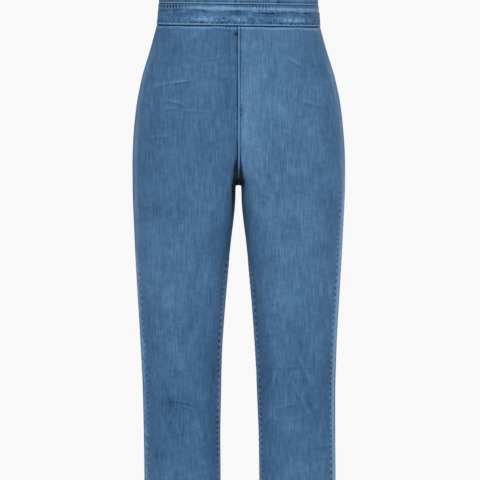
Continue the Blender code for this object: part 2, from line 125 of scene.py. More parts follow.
# Roundness of the sections in front (False) and at the back (True): 2 is an ellipse, and more
# is squarer
ROUNDNESS = {False: 2.4, True: 2.3}
SHOULDER_ROUND = 1.8

# Grids: steps, the finer steps beside a leg's seams, and how closely rows crowd. CENTRE_ROWS is
# for the front (False) and the back (True)
LEG_COLUMNS = 96
EDGE_STEPS = 14
EDGE_STEP = 0.0015
ROW_SAMPLES = 260
TRUNK_ROWS = 84
FORK_ROWS = 54
ARCH_ROWS = 20
ARCH_CROWDING = 2.2
LEG_ROWS = 298
BODICE_ROWS = 136
SIDE_ROWS = 72
CENTRE_ROWS = {False: 88, True: 104}
BODICE_COLUMNS = 54
CROWDING = 0.12
START_CROWDING = 0.75
START_REACH = 0.06
BAND_ROWS = 36
BAND_COLUMNS = 220
EDGE_SAMPLES = 300
WAY_STEP = 0.0005

# Zip
ZIP_SLOT = 0.004
TAPE_DEPTH = 0.0026
TOOTH_PITCH = 0.0022
TOOTH_SIZE = (0.003, 0.0012, 0.0016)
TOOTH_REACH = 0.0004
TOOTH_TAPER = 0.72
TOOTH_BEVEL = 0.00018
ZIP_START = -0.049
ZIP_SAMPLES = 80
ZIP_STOP_REACH = 0.003

# The zip's end stop, in teeth
ZIP_STOP_SIZE = (2.1, 3.0, 1.2)

# Sewing
STITCH = 0.0026
STITCH_GAP = 0.0007
STITCH_SEAT = 0.35
STITCH_SIDES = 6
THREAD = 0.0004
ZIP_SEWN = 0.0075
ZIP_PAST = 0.004
BAND_SEWN = 0.0022
BODICE_SEWN = 0.003
CENTRE_SEWN = 0.0007
CENTRE_LIFT = 0.00005
CENTRE_SEWN_END = -0.677
HEM_DEPTH = 0.021
EDGE_DEPTH = 0.0065
SEAM_ALLOWANCE = 0.0165
INSEAM_ALLOWANCE = 0.0105
PUCKER_PITCH = 0.01
SIDE_SHOWN = 0.008
INSEAM_SHOWN = 0.0046
GRAIN_X = 0.088
ALONG_SHIFT = 0.37

# Creases bow by a share of their reach: BROAD_BOW where deeper than THIN_DEPTH, else THIN_BOW
THIN_DEPTH = 0.001
THIN_BOW = 0.03
BROAD_BOW = 0.12

# A stitch's rings: place along it, thickness and lift, as shares of its length and of the thread
STITCH_RINGS = (
    (-0.5, 0.35, -0.3),
    (-0.36, 0.9, 0.35),
    (0.0, 1.0, 0.6),
    (0.36, 0.9, 0.35),
    (0.5, 0.35, -0.3),
)

# Broad unevenness: radians a metre across and up, phase, and share of the height
EASE_WAVES = (
    (17.0, 9.0, 1.0, 0.45),
    (31.0, -13.0, 2.3, 0.3),
    (9.0, 22.0, 4.1, 0.35),
    (47.0, 19.0, 0.7, 0.16),
    (26.0, 43.0, 3.2, 0.16),
    (71.0, -38.0, 5.0, 0.07),
    (38.0, 88.0, 1.9, 0.08),
)

# Each panel's number, which varies its puckers
SEEDS = {
    "leg_back_left": 1.0,
    "leg_back_right": 2.0,
    "leg_front_left": 3.0,
    "leg_front_right": 4.0,
    "bodice_back_left": 5.0,
    "bodice_back_right": 6.0,
    "bodice_front_left": 7.0,
    "bodice_front_right": 8.0,
    "waistband_front": 0.5,
    "waistband_back_left": 1.0,
    "waistband_back_right": 2.0,
}

# Seams of each leg panel: depth of the level where the side seam's puckers start, strength of the
# side seam and of the inseam, how strong the pale stripe beside the side seam and the painted shade
# at its edge are, and the painted highlight along the outer edge (the rim) above it
LEG_SEAMS = {
    "leg_front_left": (0.64, 1.0, 1.0, 1.9, 0.4),
    "leg_front_right": (0.74, 0.6, 1.2, 1.2, 0.55),
    "leg_back_left": (0.64, 1.0, 1.0, 0.4, 0.0),
    "leg_back_right": (0.74, 1.0, 1.0, 0.4, 0.0),
}

# Bake map, in shares of its square: margin, breadth of the outer face, start and breadth of the
# inner face, sides of the column of edge faces, and how much of its place an edge face fills
BAKE_MARGIN = 0.005
BAKE_OUTER = 0.725
BAKE_INNER_START = 0.74
BAKE_INNER = 0.21
BAKE_EDGE = (0.96, 0.99)
BAKE_FILL = 0.8

# Trousers: level, side seam's distance from the middle, foremost and rearmost y, y of the side
# seam and of the inseam, how far out a leg's oval has its middle (as a share of the width),
# roundness towards the inseam in front and at the back, and how softly the oval turns at its
# seams (1 is round, and less is closer to a fold)
TROUSERS = table(
    "z outer front back side inseam middle front_round back_round turn",
    (-0.42, 0.137, -0.09, 0.088, 0.0, 0.02, 0.33, 2.4, 2.3, 1.0),
    (-0.46, 0.148, -0.097, 0.099, 0.001, 0.02, 0.35, 2.6, 2.4, 1.0),
    (-0.51, 0.1628, -0.104, 0.115, 0.003, 0.02, 0.38, 3.0, 2.5, 1.0),
    (-0.56, 0.1722, -0.107, 0.127, 0.004, 0.02, 0.41, 3.4, 2.6, 1.0),
    (-0.61, 0.1769, -0.107, 0.133, 0.006, 0.02, 0.45, 4.0, 2.7, 1.0),
    (-0.65, 0.1783, -0.105, 0.131, 0.007, 0.02, 0.48, 4.6, 2.8, 1.0),
    (-0.6906, 0.1781, -0.102, 0.125, 0.007, 0.02, 0.5, 5.0, 2.8, 1.0),
    (-0.78, 0.1743, -0.094, 0.107, 0.004, 0.014, 0.5, 3.6, 2.6, 0.92),
    (-0.86, 0.1698, -0.085, 0.091, 0.001, 0.008, 0.5, 3.0, 2.5, 0.82),
    (-0.95, 0.1645, -0.075, 0.078, -0.002, 0.003, 0.5, 2.7, 2.4, 0.74),
    (-1.04, 0.1612, -0.066, 0.071, -0.001, 0.002, 0.5, 2.5, 2.3, 0.7),
    (-1.15, 0.1604, -0.056, 0.071, 0.003, 0.005, 0.5, 2.5, 2.3, 0.68),
    (-1.3, 0.1602, -0.047, 0.073, 0.007, 0.008, 0.5, 2.5, 2.3, 0.66),
    (-1.41, 0.16, -0.043, 0.074, 0.009, 0.009, 0.5, 2.5, 2.3, 0.66),
)

# Space between the legs: level and half of the gap
LEG_GAP = table(
    "z half",
    (-0.6868, 0.00002),
    (-0.6874, 0.0036),
    (-0.6892, 0.0047),
    (ARCH_END, ARCH_HALF),
    (-0.746, 0.0084),
    (-0.78, 0.0126),
    (-0.847, 0.0193),
    (-0.914, 0.0248),
    (-0.981, 0.029),
    (-1.0485, 0.031),
    (-1.1157, 0.0328),
    (-1.41, 0.0333),
)

# Lean of the legs towards the wearer's left: level and shift
LEG_LEAN = table(
    "z shift",
    (-0.95, 0.0),
    (-1.05, 0.001),
    (-1.18, 0.0024),
    (-1.41, 0.0034),
)

# Bodice: level, side seam's distance from the middle, foremost and rearmost y
BODICE = table(
    "z outer front back",
    (-0.3835, 0.1336, -0.089, 0.086),
    (-0.34, 0.1325, -0.093, 0.086),
    (-0.3, 0.137, -0.1, 0.089),
    (-0.24, 0.15, -0.113, 0.096),
    (-0.175, 0.1565, -0.111, 0.102),
    (-0.11, 0.16, -0.103, 0.102),
    (-0.05, 0.164, -0.097, 0.098),
    (0.0, 0.166, -0.093, 0.094),
)

# Armhole edges: how far round from the side seam to the middle, and level
ARMHOLE_FRONT = table(
    "around z",
    (0.0, -0.175),
    (0.14, -0.172),
    (0.28, -0.161),
    (0.42, -0.138),
    (0.505, -0.106),
    (0.53, -0.072),
    (0.518, -0.036),
    (0.496, 0.0),
)
ARMHOLE_BACK = table(
    "around z",
    (0.0, -0.175),
    (0.13, -0.171),
    (0.26, -0.156),
    (0.37, -0.128),
    (0.445, -0.094),
    (0.475, -0.06),
    (0.485, -0.028),
    (0.487, 0.0),
)

# Creases of each piece: x and z of the middle, half of the length, lean in degrees, breadth,
# depth, and how much paler the upper side is
CREASES = {
    "leg_front_left": (
        (0.085, -0.988, 0.042, 3, 0.012, 0.0024, 0.03),
        (0.108, -1.052, 0.034, 24, 0.013, 0.0022, 0.03),
        (0.094, -0.487, 0.013, -34, 0.0032, 0.0006, 0.2),
        (0.122, -0.558, 0.018, -14, 0.0036, 0.0005, 0.15),
        (0.098, -0.541, 0.014, 62, 0.004, 0.0004, 0.09),
        (0.085, -0.993, 0.038, 2, 0.003, 0.0004, 0.1),
        (0.106, -0.996, 0.024, -62, 0.0034, 0.0006, 0.12),
        (0.1, -1.046, 0.03, -64, 0.0036, 0.0006, 0.11),
        (0.062, -1.012, 0.018, 82, 0.0028, 0.0005, 0.1),
        (0.078, -1.058, 0.02, 14, 0.0036, 0.0005, 0.09),
    ),
    "leg_front_right": (
        (-0.091, -1.05, 0.038, -14, 0.012, 0.0024, 0.04),
        (-0.098, -0.975, 0.03, 9, 0.012, 0.0018, 0.03),
        (-0.095, -0.5205, 0.017, 8, 0.003, 0.0007, 0.26),
        (-0.129, -0.526, 0.011, 11, 0.0034, 0.0005, 0.16),
        (-0.106, -0.555, 0.017, -18, 0.0034, 0.0006, 0.2),
        (-0.112, -0.566, 0.013, 4, 0.003, 0.0005, 0.15),
        (-0.067, -0.57, 0.015, -3, 0.0028, 0.0004, 0.16),
        (-0.131, -0.612, 0.015, 2, 0.0032, 0.0005, 0.14),
        (-0.093, -1.051, 0.018, -12, 0.0024, 0.0007, 0.2),
        (-0.086, -1.06, 0.013, -20, 0.0022, 0.0005, 0.16),
        (-0.102, -1.036, 0.012, 84, 0.002, 0.0005, 0.16),
        (-0.11, -1.072, 0.014, 68, 0.003, 0.0006, 0.1),
    ),
    "leg_back_left": (
        (0.094, -0.985, 0.052, 9, 0.014, 0.0042, 0.3),
        (0.102, -1.03, 0.046, -7, 0.013, 0.0034, 0.3),
        (0.086, -0.722, 0.05, 26, 0.015, 0.0038, 0.1),
        (0.06, -0.7, 0.04, 38, 0.006, 0.0012, 0.24),
        (0.11, -0.705, 0.034, 14, 0.006, 0.001, 0.22),
        (0.098, -1.008, 0.04, 2, 0.005, 0.0012, 0.34),
    ),
    "leg_back_right": (
        (-0.092, -0.994, 0.05, -11, 0.014, 0.004, 0.3),
        (-0.1, -1.042, 0.042, 6, 0.013, 0.003, 0.3),
        (-0.082, -0.73, 0.048, -22, 0.015, 0.0034, 0.1),
        (-0.058, -0.706, 0.042, -34, 0.006, 0.0012, 0.24),
        (-0.112, -0.712, 0.03, -10, 0.0056, 0.001, 0.22),
        (-0.096, -1.016, 0.038, -4, 0.005, 0.0012, 0.34),
    ),
    "bodice_front_left": (
        (0.06, -0.352, 0.03, 14, 0.007, 0.0012, 0.16),
        (0.104, -0.3, 0.03, 42, 0.008, 0.0013, 0.16),
    ),
    "bodice_front_right": (
        (-0.064, -0.346, 0.028, -18, 0.007, 0.0013, 0.16),
        (-0.108, -0.306, 0.03, -38, 0.008, 0.0013, 0.16),
    ),
    "bodice_back_left": (
        (0.05, -0.338, 0.034, 8, 0.0085, 0.0022, 0.2),
        (0.064, -0.312, 0.026, -6, 0.008, 0.0016, 0.18),
    ),
    "bodice_back_right": (
        (-0.054, -0.344, 0.036, -6, 0.0085, 0.0022, 0.2),
        (-0.06, -0.316, 0.028, 9, 0.008, 0.0016, 0.18),
    ),
}

# Dart of each kind of panel: distance from the middle at its wide end and at its point, and
# the levels of both
DARTS = {
    "bodice_front": (0.066, 0.074, -0.3835, -0.282),
    "bodice_back": (0.07, 0.074, -0.3835, -0.262),
    "leg_back": (0.066, 0.07, -0.42, -0.52),
}

# Waistband's worn patches in front: distance from the middle, height above its lower edge,
# half of the breadth and of the height, and strength (pale above 0, dark below). Patches
# stronger than RAGGED_FROM have ragged edges
RAGGED_FROM = 0.3
BAND_PATCHES = (
    (-0.056, 0.0105, 0.018, 0.0034, 0.5),
    (0.004, 0.01, 0.01, 0.0034, 0.55),
    (0.086, 0.011, 0.026, 0.0036, 0.55),
    (-0.03, 0.03, 0.04, 0.0022, 0.34),
    (0.062, 0.03, 0.05, 0.002, 0.26),
    (-0.104, 0.02, 0.026, 0.0048, -0.22),
    (-0.004, 0.0205, 0.012, 0.003, -0.3),
    (0.05, 0.019, 0.02, 0.003, -0.16),
    (-0.01, 0.015, 0.03, 0.0026, 0.12),
    (0.12, 0.016, 0.016, 0.005, -0.16),
)

# Waistband's long crease in front: distance from the middle and height above the lower edge
BAND_CREASE = table(
    "x height",
    (-0.136, 0.0262),
    (-0.12, 0.0256),
    (-0.092, 0.0276),
    (-0.066, 0.027),
    (-0.036, 0.0228),
    (-0.012, 0.0248),
    (0.008, 0.025),
    (0.032, 0.0222),
    (0.056, 0.0226),
    (0.086, 0.024),
    (0.12, 0.0228),
    (0.136, 0.0232),
)


def eased(stops, values, at):
    """Smooth curve through a table's values that never swings past them."""
    order = np.argsort(stops)
    x = np.asarray(stops, dtype=float)[order]
    y = np.asarray(values, dtype=float)[order]
    at = np.clip(at, x[0], x[-1])
    rise = np.diff(y) / np.diff(x)
    slope = np.zeros_like(y)
    same_way = rise[:-1] * rise[1:] > 0
    together = np.where(same_way, rise[:-1] + rise[1:], 1.0)
    slope[1:-1] = np.where(same_way, 2 * rise[:-1] * rise[1:] / together, 0.0)
    slope[0] = rise[0]
    slope[-1] = rise[-1]
    i = np.clip(np.searchsorted(x, at, side="right") - 1, 0, len(x) - 2)
    span = x[i + 1] - x[i]
    t = (at - x[i]) / span
    start = (1 + 2 * t) * (1 - t) ** 2 * y[i] + t * (1 - t) ** 2 * span * slope[i]
    return start + t * t * (3 - 2 * t) * y[i + 1] - t * t * (1 - t) * span * slope[i + 1]


def trouser_size(name, z):
    """A size of the trousers at a level."""
    return eased(TROUSERS["z"], TROUSERS[name], z)


def bodice_size(name, z):
    """A size of the bodice at a level."""
    return eased(BODICE["z"], BODICE[name], z)


def unit(vectors):
    """The same directions with length one."""
    return vectors / np.maximum(np.linalg.norm(vectors, axis=-1, keepdims=True), 1e-12)


def ramp(value, start, end):
    """Smooth step from 0 at start to 1 at end."""
    t = np.clip((value - start) / (end - start), 0.0, 1.0)
    return t * t * (3 - 2 * t)


def hump(value, breadth):
    """Smooth hump of height 1 round 0."""
    return np.exp(-((value / breadth) ** 2))


def settle(points):
    """Leans the waist and the legs as they hang, and gives the points their final place."""
    x, y, z = points[..., 0], points[..., 1], points[..., 2]
    lean = eased(LEG_LEAN["z"], LEG_LEAN["shift"], z)
    lift = hump(z - WAIST_MIDDLE, WAIST_SPREAD) * (WAIST_PITCH * y - WAIST_TILT * x)
    return np.stack([x + lean, y, z + lift], axis=-1)


def crowded(steps):
    """Shares from 0 to 1 whose first steps are the smallest."""
    even = np.linspace(0, 1, steps + 1)
    return even * (1 - START_CROWDING * np.exp(-even / START_REACH))


def puckers(along, pitch, seed):
    """Dashes of height up to 1 along a seam, as uneven as sewn denim has them."""
    drift = 0.34 * np.sin(along * 21 + seed) + 0.22 * np.sin(along * 57 + 2.3 * seed)
    wave = 0.5 + 0.5 * np.cos(2 * np.pi * (along / pitch + drift))
    strength = 0.66 + 0.22 * np.sin(along * 41 + 1.7 * seed) + 0.12 * np.sin(along * 97 + seed)
    return wave ** 2 * strength


def inner_edge(z, is_back):
    """Distance from the middle to a trouser panel's inner edge."""
    if z < CROTCH:
        return float(eased(LEG_GAP["z"], LEG_GAP["half"], z))
    return ZIP_SLOT if is_back and z >= ZIP_END else MIDDLE


def fork_share(z, is_back):
    """How far the centre seam still is from the inseam: 1 on the trunk, 0 from the crotch down."""
    fork = BACK_FORK if is_back else FRONT_FORK
    way = min(max((fork - z) / (fork - CROTCH), 0.0), 1.0)
    return math.sqrt(1 - way * way)


def trouser_row(z, is_back):
    """Points of one horizontal section, from the side seam round to the inner edge."""
    power = ROUNDNESS[is_back]
    inner_power = trouser_size("back_round" if is_back else "front_round", z)
    far = trouser_size("back" if is_back else "front", z)
    side = trouser_size("side", z)
    inseam = trouser_size("inseam", z)
    inner = inner_edge(z, is_back)
    outer = trouser_size("outer", z)
    gentle = inner
    if ARCH_END < z < CROTCH:
        gentle = MIDDLE + (ARCH_HALF - MIDDLE) * float(ramp(z, CROTCH, ARCH_END))
    middle = gentle + (outer - gentle) * trouser_size("middle", z)
    turn = trouser_size("turn", z)
    bend = 1 - fork_share(z, is_back) ** inner_power
    angle = np.linspace(0, math.pi, ROW_SAMPLES + 1)
    cosine = np.abs(np.cos(angle))
    is_outer = angle < math.pi / 2
    share = cosine ** (2 / inner_power)
    x = np.where(
        is_outer,
        middle + (outer - middle) * cosine ** (2 / power),
        middle - (middle - gentle) * share + (inner - gentle) * share ** ARCH_REACH,
    )
    out = np.where(
        is_outer,
        np.sin(angle) ** (2 / (power * turn)),
        (1 - bend * np.minimum(cosine, 1.0) ** 2) ** (1 / (inner_power * turn)),
    )
    base = side + (inseam - side) * angle / math.pi
    return np.stack([x, base + (far - base) * out, np.full_like(angle, z)], axis=-1)


def runs(points, axis=0):
    """Distances along a line of points, or along a grid's rows (axis 1) or columns (axis 0)."""
    steps = np.linalg.norm(np.diff(points, axis=axis), axis=-1)
    return np.insert(np.cumsum(steps, axis=axis), 0, 0.0, axis=axis)


def respaced(points, stops):
    """Points at the given distances along a line."""
    return np.stack([np.interp(stops, runs(points), points[:, k]) for k in range(3)], axis=-1)


def leg_stops(total):
    """Distances of a leg row's points from the side seam, closest beside both seams."""
    edge = np.arange(EDGE_STEPS) * EDGE_STEP
    reach = EDGE_STEPS * EDGE_STEP
    middle = np.linspace(reach, total - reach, LEG_COLUMNS - 2 * EDGE_STEPS + 1)
    return np.concatenate([edge, middle, total - edge[::-1]])


def trouser_levels():
    """Levels of a trouser panel's rows, closest where the crotch turns."""
    waist = BAND_BOTTOM - MIDDLE
    trunk = waist + (BACK_FORK - waist) * crowded(TRUNK_ROWS)
    turn = np.linspace(0, math.pi / 2, FORK_ROWS + 1)[1:]
    fork = BACK_FORK + (CROTCH - BACK_FORK) * np.sin(turn)
    opening = np.linspace(0, 1, ARCH_ROWS + 1)[1:] ** ARCH_CROWDING
    arch = CROTCH + (ARCH_END - CROTCH) * opening
    leg = (HEM + (ARCH_END - HEM) * crowded(LEG_ROWS))[-2::-1]
    return np.concatenate([trunk, fork, arch, leg])


def trouser_grid(is_back):
    """Outer points of the wearer's left trouser panel, rows from the waist down."""
    rows = [trouser_row(z, is_back) for z in trouser_levels()]
    return np.array([respaced(row, leg_stops(runs(row)[-1])) for row in rows])


def bodice_points(around, level, is_back):
    """Points of the bodice, by their way round from the side seam (0) to the middle (1)."""
    power = ROUNDNESS[is_back]
    sign = 1 if is_back else -1
    angle = around * math.pi / 2
    out = np.sin(angle) ** (2 / power)
    x = bodice_size("outer", level) * np.maximum(np.cos(angle), 0.0) ** (2 / power)
    depth = np.abs(bodice_size("back" if is_back else "front", level))
    if not is_back:
        away = (x - BUST_X) ** 2 + (level - BUST_Z) ** 2
        depth = depth + BUST_RISE * np.exp(-away / (2 * BUST_SPREAD ** 2))
    upward = np.clip(1 + level / SHOULDER_TURN, 0.0, 1.0)
    depth = depth * (1 - upward ** SHOULDER_ROUND) ** (1 / SHOULDER_ROUND)
    height = (level - BAND_TOP) / -BAND_TOP
    drop = SHOULDER_DROP * (x / SHOULDER_END) ** 3 * height ** 2
    return np.stack([x, sign * (MIDDLE + depth * out), level - drop], axis=-1)


def around_at(x, level, is_back):
    """How far round from the side seam a distance from the middle lies."""
    power = ROUNDNESS[is_back]
    share = np.minimum(x / bodice_size("outer", level), 1.0)
    return np.arccos(share ** (power / 2)) * 2 / math.pi


def evenly(ways, is_back, steps):
    """Picks points along an edge so that the steps between them have one length."""
    run = runs(bodice_points(ways[:, 0], ways[:, 1], is_back))
    stops = np.linspace(0, run[-1], steps + 1)
    return np.stack([np.interp(stops, run, ways[:, k]) for k in (0, 1)], axis=-1)


def side_edge(is_back):
    """Outer edge of a bodice panel: up the side seam, then round the armhole."""
    bottom = BAND_TOP + MIDDLE
    levels = bottom + (ARMHOLE - bottom) * crowded(SIDE_ROWS)
    seam = np.stack([np.zeros_like(levels), levels], axis=-1)
    edge = ARMHOLE_BACK if is_back else ARMHOLE_FRONT
    stops = np.arange(len(edge["z"]))
    fine = np.linspace(0, stops[-1], EDGE_SAMPLES)
    ways = np.stack([eased(stops, edge[name], fine) for name in ("around", "z")], axis=-1)
    return np.concatenate([seam, evenly(ways, is_back, BODICE_ROWS - SIDE_ROWS)[1:]])


def centre_edge(is_back):
    """Inner edge of a bodice panel: up the middle, then round the neck to the shoulder."""
    edge = ZIP_SLOT if is_back else MIDDLE
    depth = NECK_BACK if is_back else NECK_FRONT
    rows = CENTRE_ROWS[is_back]
    bottom = BAND_TOP + MIDDLE
    levels = bottom + (depth - bottom) * crowded(rows)
    seam = np.stack([around_at(edge, levels, is_back), levels], axis=-1)
    turn = np.linspace(0, math.pi / 2, EDGE_SAMPLES)
    level = depth * np.cos(turn)
    around = around_at(edge + (NECK_HALF - edge) * np.sin(turn), level, is_back)
    neck = evenly(np.stack([around, level], axis=-1), is_back, BODICE_ROWS - rows)
    return np.concatenate([seam, neck[1:]])


def bodice_ways(is_back):
    """Where the wearer's left bodice panel has its points, rows from the shoulder down."""
    even = np.linspace(0, 1, BODICE_COLUMNS + 1)
    share = even - CROWDING * np.sin(2 * np.pi * even)
    start = side_edge(is_back)[::-1, None]
    end = centre_edge(is_back)[::-1, None]
    return start + share[None, :, None] * (end - start)


def band_grid(is_back):
    """Outer points of the wearer's left half of the waistband, rows from its top down."""
    power = ROUNDNESS[is_back]
    line = trouser_row(BAND_BOTTOM, is_back)
    bottom = respaced(line, np.linspace(0, runs(line)[-1], BAND_COLUMNS + 1))
    bottom[-1, 0] = ZIP_SLOT if is_back else 0.0
    across = bottom[:, 0] / bottom[0, 0]
    out = bottom[:, 1] / bottom[-1, 1]
    around = np.arctan2(out ** (power / 2), across ** (power / 2)) * 2 / math.pi
    top = bodice_points(around, np.full_like(around, BAND_TOP), is_back)
    top[-1, 0] = bottom[-1, 0]
    share = np.linspace(0, 1, BAND_ROWS + 1)[:, None, None]
    grid = top + (bottom - top) * share
    grid[..., 2] = (BAND_TOP - MIDDLE + (BAND_BOTTOM - BAND_TOP + 2 * MIDDLE) * share)[..., 0]
    return grid


def outward(grid, is_back):
    """Directions that point away from the wearer at a left panel's points."""
    down = np.gradient(grid, axis=0)
    inward = np.gradient(grid, axis=1)
    return unit(np.cross(down, inward) if is_back else np.cross(inward, down))


def trouser_outward(grid, is_back):
    """Outward directions of a trouser panel, which stay in the seams' planes at its seams."""
    normals = outward(grid, is_back)
    level = grid[:, 0, 2]
    normals[..., 2] *= ramp(np.abs(grid[..., 2] - CROTCH), 0.002, 0.014)
    normals[:, 0, 1] = 0
    normals[level < CROTCH, -1, 1] = 0
    normals[level >= CROTCH, -1, 0] = np.minimum(normals[level >= CROTCH, -1, 0], 0)
    normals[0, :, 2] = 0
    return unit(normals)


def bodice_outward(ways, is_back):
    """Outward directions of a bodice panel, which stay in the seams' planes at its seams."""
    around, level = ways[..., 0], ways[..., 1]
    before, after = np.maximum(around - WAY_STEP, 0), np.minimum(around + WAY_STEP, 1)
    below, above = np.maximum(level - WAY_STEP, BAND_TOP), np.minimum(level + WAY_STEP, 0)
    inward = bodice_points(after, level, is_back) - bodice_points(before, level, is_back)
    upward = bodice_points(around, above, is_back) - bodice_points(around, below, is_back)
    normals = unit(np.cross(inward, upward) if is_back else np.cross(upward, inward))
    seam_start = BODICE_ROWS - SIDE_ROWS
    centre_start = BODICE_ROWS - CENTRE_ROWS[is_back]
    normals[seam_start:, 0, 1] = 0
    normals[centre_start:, -1, 0] = np.minimum(normals[centre_start:, -1, 0], 0)
    normals[0, :, 1] = 0
    normals[-1, :, 2] = 0
    return unit(normals)


class Panel:
    """A cloth panel: its smooth outer grid, and the relief, wear and painted light and shade that are
    laid on it.
    """

    def __init__(self, name, grid, normals):
        self.name = name
        self.kind = name.rsplit("_", 1)[0]
        self.is_back = "back" in name
        self.is_right = name.endswith("right")
        self.seed = SEEDS[name]
        flip = MIRROR if self.is_right else 1.0
        self.grid = grid * flip
        self.normals = normals * flip
        self.x = self.grid[..., 0]
        self.z = self.grid[..., 2]
        self.side = runs(grid, axis=1)
        self.inner = self.side[:, -1:] - self.side
        self.top = runs(grid)
        self.bottom = self.top[-1:] - self.top
        self.folds = np.zeros(grid.shape[:2])
        self.relief = np.zeros(grid.shape[:2])
        self.wear = np.zeros(grid.shape[:2])
        self.thick = np.full(grid.shape[:2], CLOTH)
        self.outer = None
        self.facing = None
        self.tree = None

    def finish_shape(self):
        """Works out the final outer points, and what sewing needs to lie on them."""
        rise = (self.folds + np.maximum(self.relief, -DEEPEST))[..., None]
        self.outer = settle(self.grid + self.normals * rise)
        self.facing = unit(settle(self.grid + self.normals * 0.01) - settle(self.grid))
        points = self.outer.reshape(-1, 3)
        quads = grid_quads(np.arange(len(points)).reshape(self.outer.shape[:2]))
        self.tree = BVHTree.FromPolygons(points.tolist(), quads.tolist())

    def facing_at(self, centre):
        """The outward direction near a point."""
        away = np.linalg.norm(self.outer.reshape(-1, 3) - np.array(centre), axis=1)
        return self.facing.reshape(-1, 3)[int(np.argmin(away))]

    def inside(self):
        """Final inner points."""
        return settle(self.grid + self.normals * (self.folds - self.thick)[..., None])


def nearness(grid, line):
    """For each point of a grid, the distance to a line of points, and how far along it that is."""
    run = runs(line)
    flat = grid.reshape(-1, 3)
    best = np.full(len(flat), 1e9)
    where = np.zeros(len(flat))
    for i in range(len(line) - 1):
        step = line[i + 1] - line[i]
        length = max(float(step @ step), 1e-12)
        t = np.clip(((flat - line[i]) @ step) / length, 0.0, 1.0)
        away = np.linalg.norm(flat - line[i] - t[:, None] * step, axis=1)
        closer = away < best
        best = np.where(closer, away, best)
        where = np.where(closer, run[i] + t * (run[i + 1] - run[i]), where)
    shape = grid.shape[:2]
    return best.reshape(shape), where.reshape(shape)


def press(panel, away, mask, *humps):
    """Lays humps on a panel. Each one's values: place, breadth, height in relief, and in wear and
    painted light and shade.
    """
    for place, breadth, relief, wear in humps:
        ridge = mask * hump(away - place, breadth)
        panel.relief += relief * ridge
        panel.wear += wear * ridge


def lay_creases(panel):
    """Presses the panel's creases in as soft troughs, paler above and darker inside."""
    for x, z, reach, lean, breadth, depth, fade in CREASES.get(panel.name, ()):
        turn = math.radians(lean)
        across = panel.x - x
        up = panel.z - z
        bow = (BROAD_BOW if depth > THIN_DEPTH else THIN_BOW) * across * across / reach
        along = across * math.cos(turn) + up * math.sin(turn)
        aside = up * math.cos(turn) - across * math.sin(turn) + bow
        present = np.exp(-((along / reach) ** 4))
        trough = hump(aside, breadth) - 0.35 * hump(aside - 1.7 * breadth, breadth)
        tone = 2.0 * hump(aside - 1.2 * breadth, 0.7 * breadth) - 1.7 * hump(aside, 0.6 * breadth)
        panel.folds -= depth * present * trough
        panel.wear += fade * present * tone


def lay_ease(panel, height):
    """Gives the cloth slight, broad unevenness, so that no panel is perfectly smooth."""
    total = np.zeros_like(panel.x)
    for across, up, phase, share in EASE_WAVES:
        total += share * np.sin(across * panel.x + up * panel.z + phase + 1.3 * panel.seed)
    panel.folds += height * total * ramp(np.minimum(panel.side, panel.inner), 0.0, 0.03)
    panel.wear += 0.05 * total


def lay_seam(panel, edge, away, along, allowance, strength, seed, light=1.0):
    """A pressed seam: a groove at the edge with painted shade in it, painted shade where the cloth turns
    away at the edge, a step where the allowance ends, and puckers there.

    edge is the true distance from the seam, and away is the one that places the allowance.
    """
    dashes = np.sqrt(puckers(along, PUCKER_PITCH, seed))
    uneven = 0.45 + 1.3 * puckers(along + 0.6 * away, 0.014, seed + 6)
    ending = away - allowance
    lit = light * strength
    # The groove at the seam is painted dark as shade, with a pale line beside it
    press(panel, edge, 1, (0, 0.0012, -0.0008, 0), (0, 0.0015, 0, -0.9), (0.004, 0.0022, 0, 0.2))
    panel.relief += 0.0005 * (1 - ramp(ending, -0.003, 0.002)) * strength
    press(panel, ending, strength, (0, 0.0024, 0, 0.85))
    press(panel, ending, strength * dashes, (0, 0.0024, -0.0008, -2.35), (-0.006, 0.004, 0.0004, 0))
    # Painted shade at the seam's edge, where the cloth turns away from the light
    press(panel, away, lit, (0, 0.0022, 0, -0.5))
    press(panel, away, lit * uneven, (0.0066, 0.003, 0, 0.8))
    press(panel, away, lit * (0.7 + 0.7 * dashes), (0.5 * allowance, 0.34 * allowance, 0, 0.45))


def lay_hem(panel, away, along, depth, seed):
    """A turned edge: thicker cloth up to a sewn line, with slanting ropes across it."""
    ropes = puckers(along + 0.35 * away, 0.0088, seed) - 0.4
    inside = 1 - ramp(away, depth - 0.0012, depth + 0.0012)
    panel.relief += inside * (0.0003 + 0.00045 * ropes * ramp(away, 0.0, 0.003))
    panel.wear += 0.55 * ropes * inside
    press(panel, away, 1, (0, 0.001, -0.0006, 0), (0, 0.0016, 0, 0.45))
    press(panel, away - depth, 1, (0, 0.001, -0.0005, 0), (0.0012, 0.0016, 0, -0.35))
    panel.thick += (LINED - CLOTH) * (1 - ramp(away, depth, depth + 0.002))


def lay_dart(panel):
    """A dart: a crease that fades out at its point, paler on one side and darker on the other."""
    if panel.kind not in DARTS:
        return
    wide_x, point_x, wide_z, point_z = DARTS[panel.kind]
    way = (panel.z - wide_z) / (point_z - wide_z)
    aside = np.abs(panel.x) - wide_x - (point_x - wide_x) * way
    present = (1 - ramp(way, 0.86, 1.0)) * ramp(way, -0.05, 0.0)
    fold = (1 - np.clip(way, 0, 1)) ** 0.6 * present
    dashes = puckers(panel.z, 0.0074, panel.seed)
    press(panel, aside, present, (0, 0.0012, -0.001, 0), (0, 0.0011, 0, -0.65))
    press(panel, aside, fold, (-0.0045, 0.004, 0.0005, 0), (-0.0026, 0.0018, 0, 0.6))
    press(panel, aside, fold, (0.0026, 0.0016, 0, 0.3))
    press(panel, aside, fold * dashes, (-0.0085, 0.002, -0.0004, 0), (-0.008, 0.002, 0, -0.45))


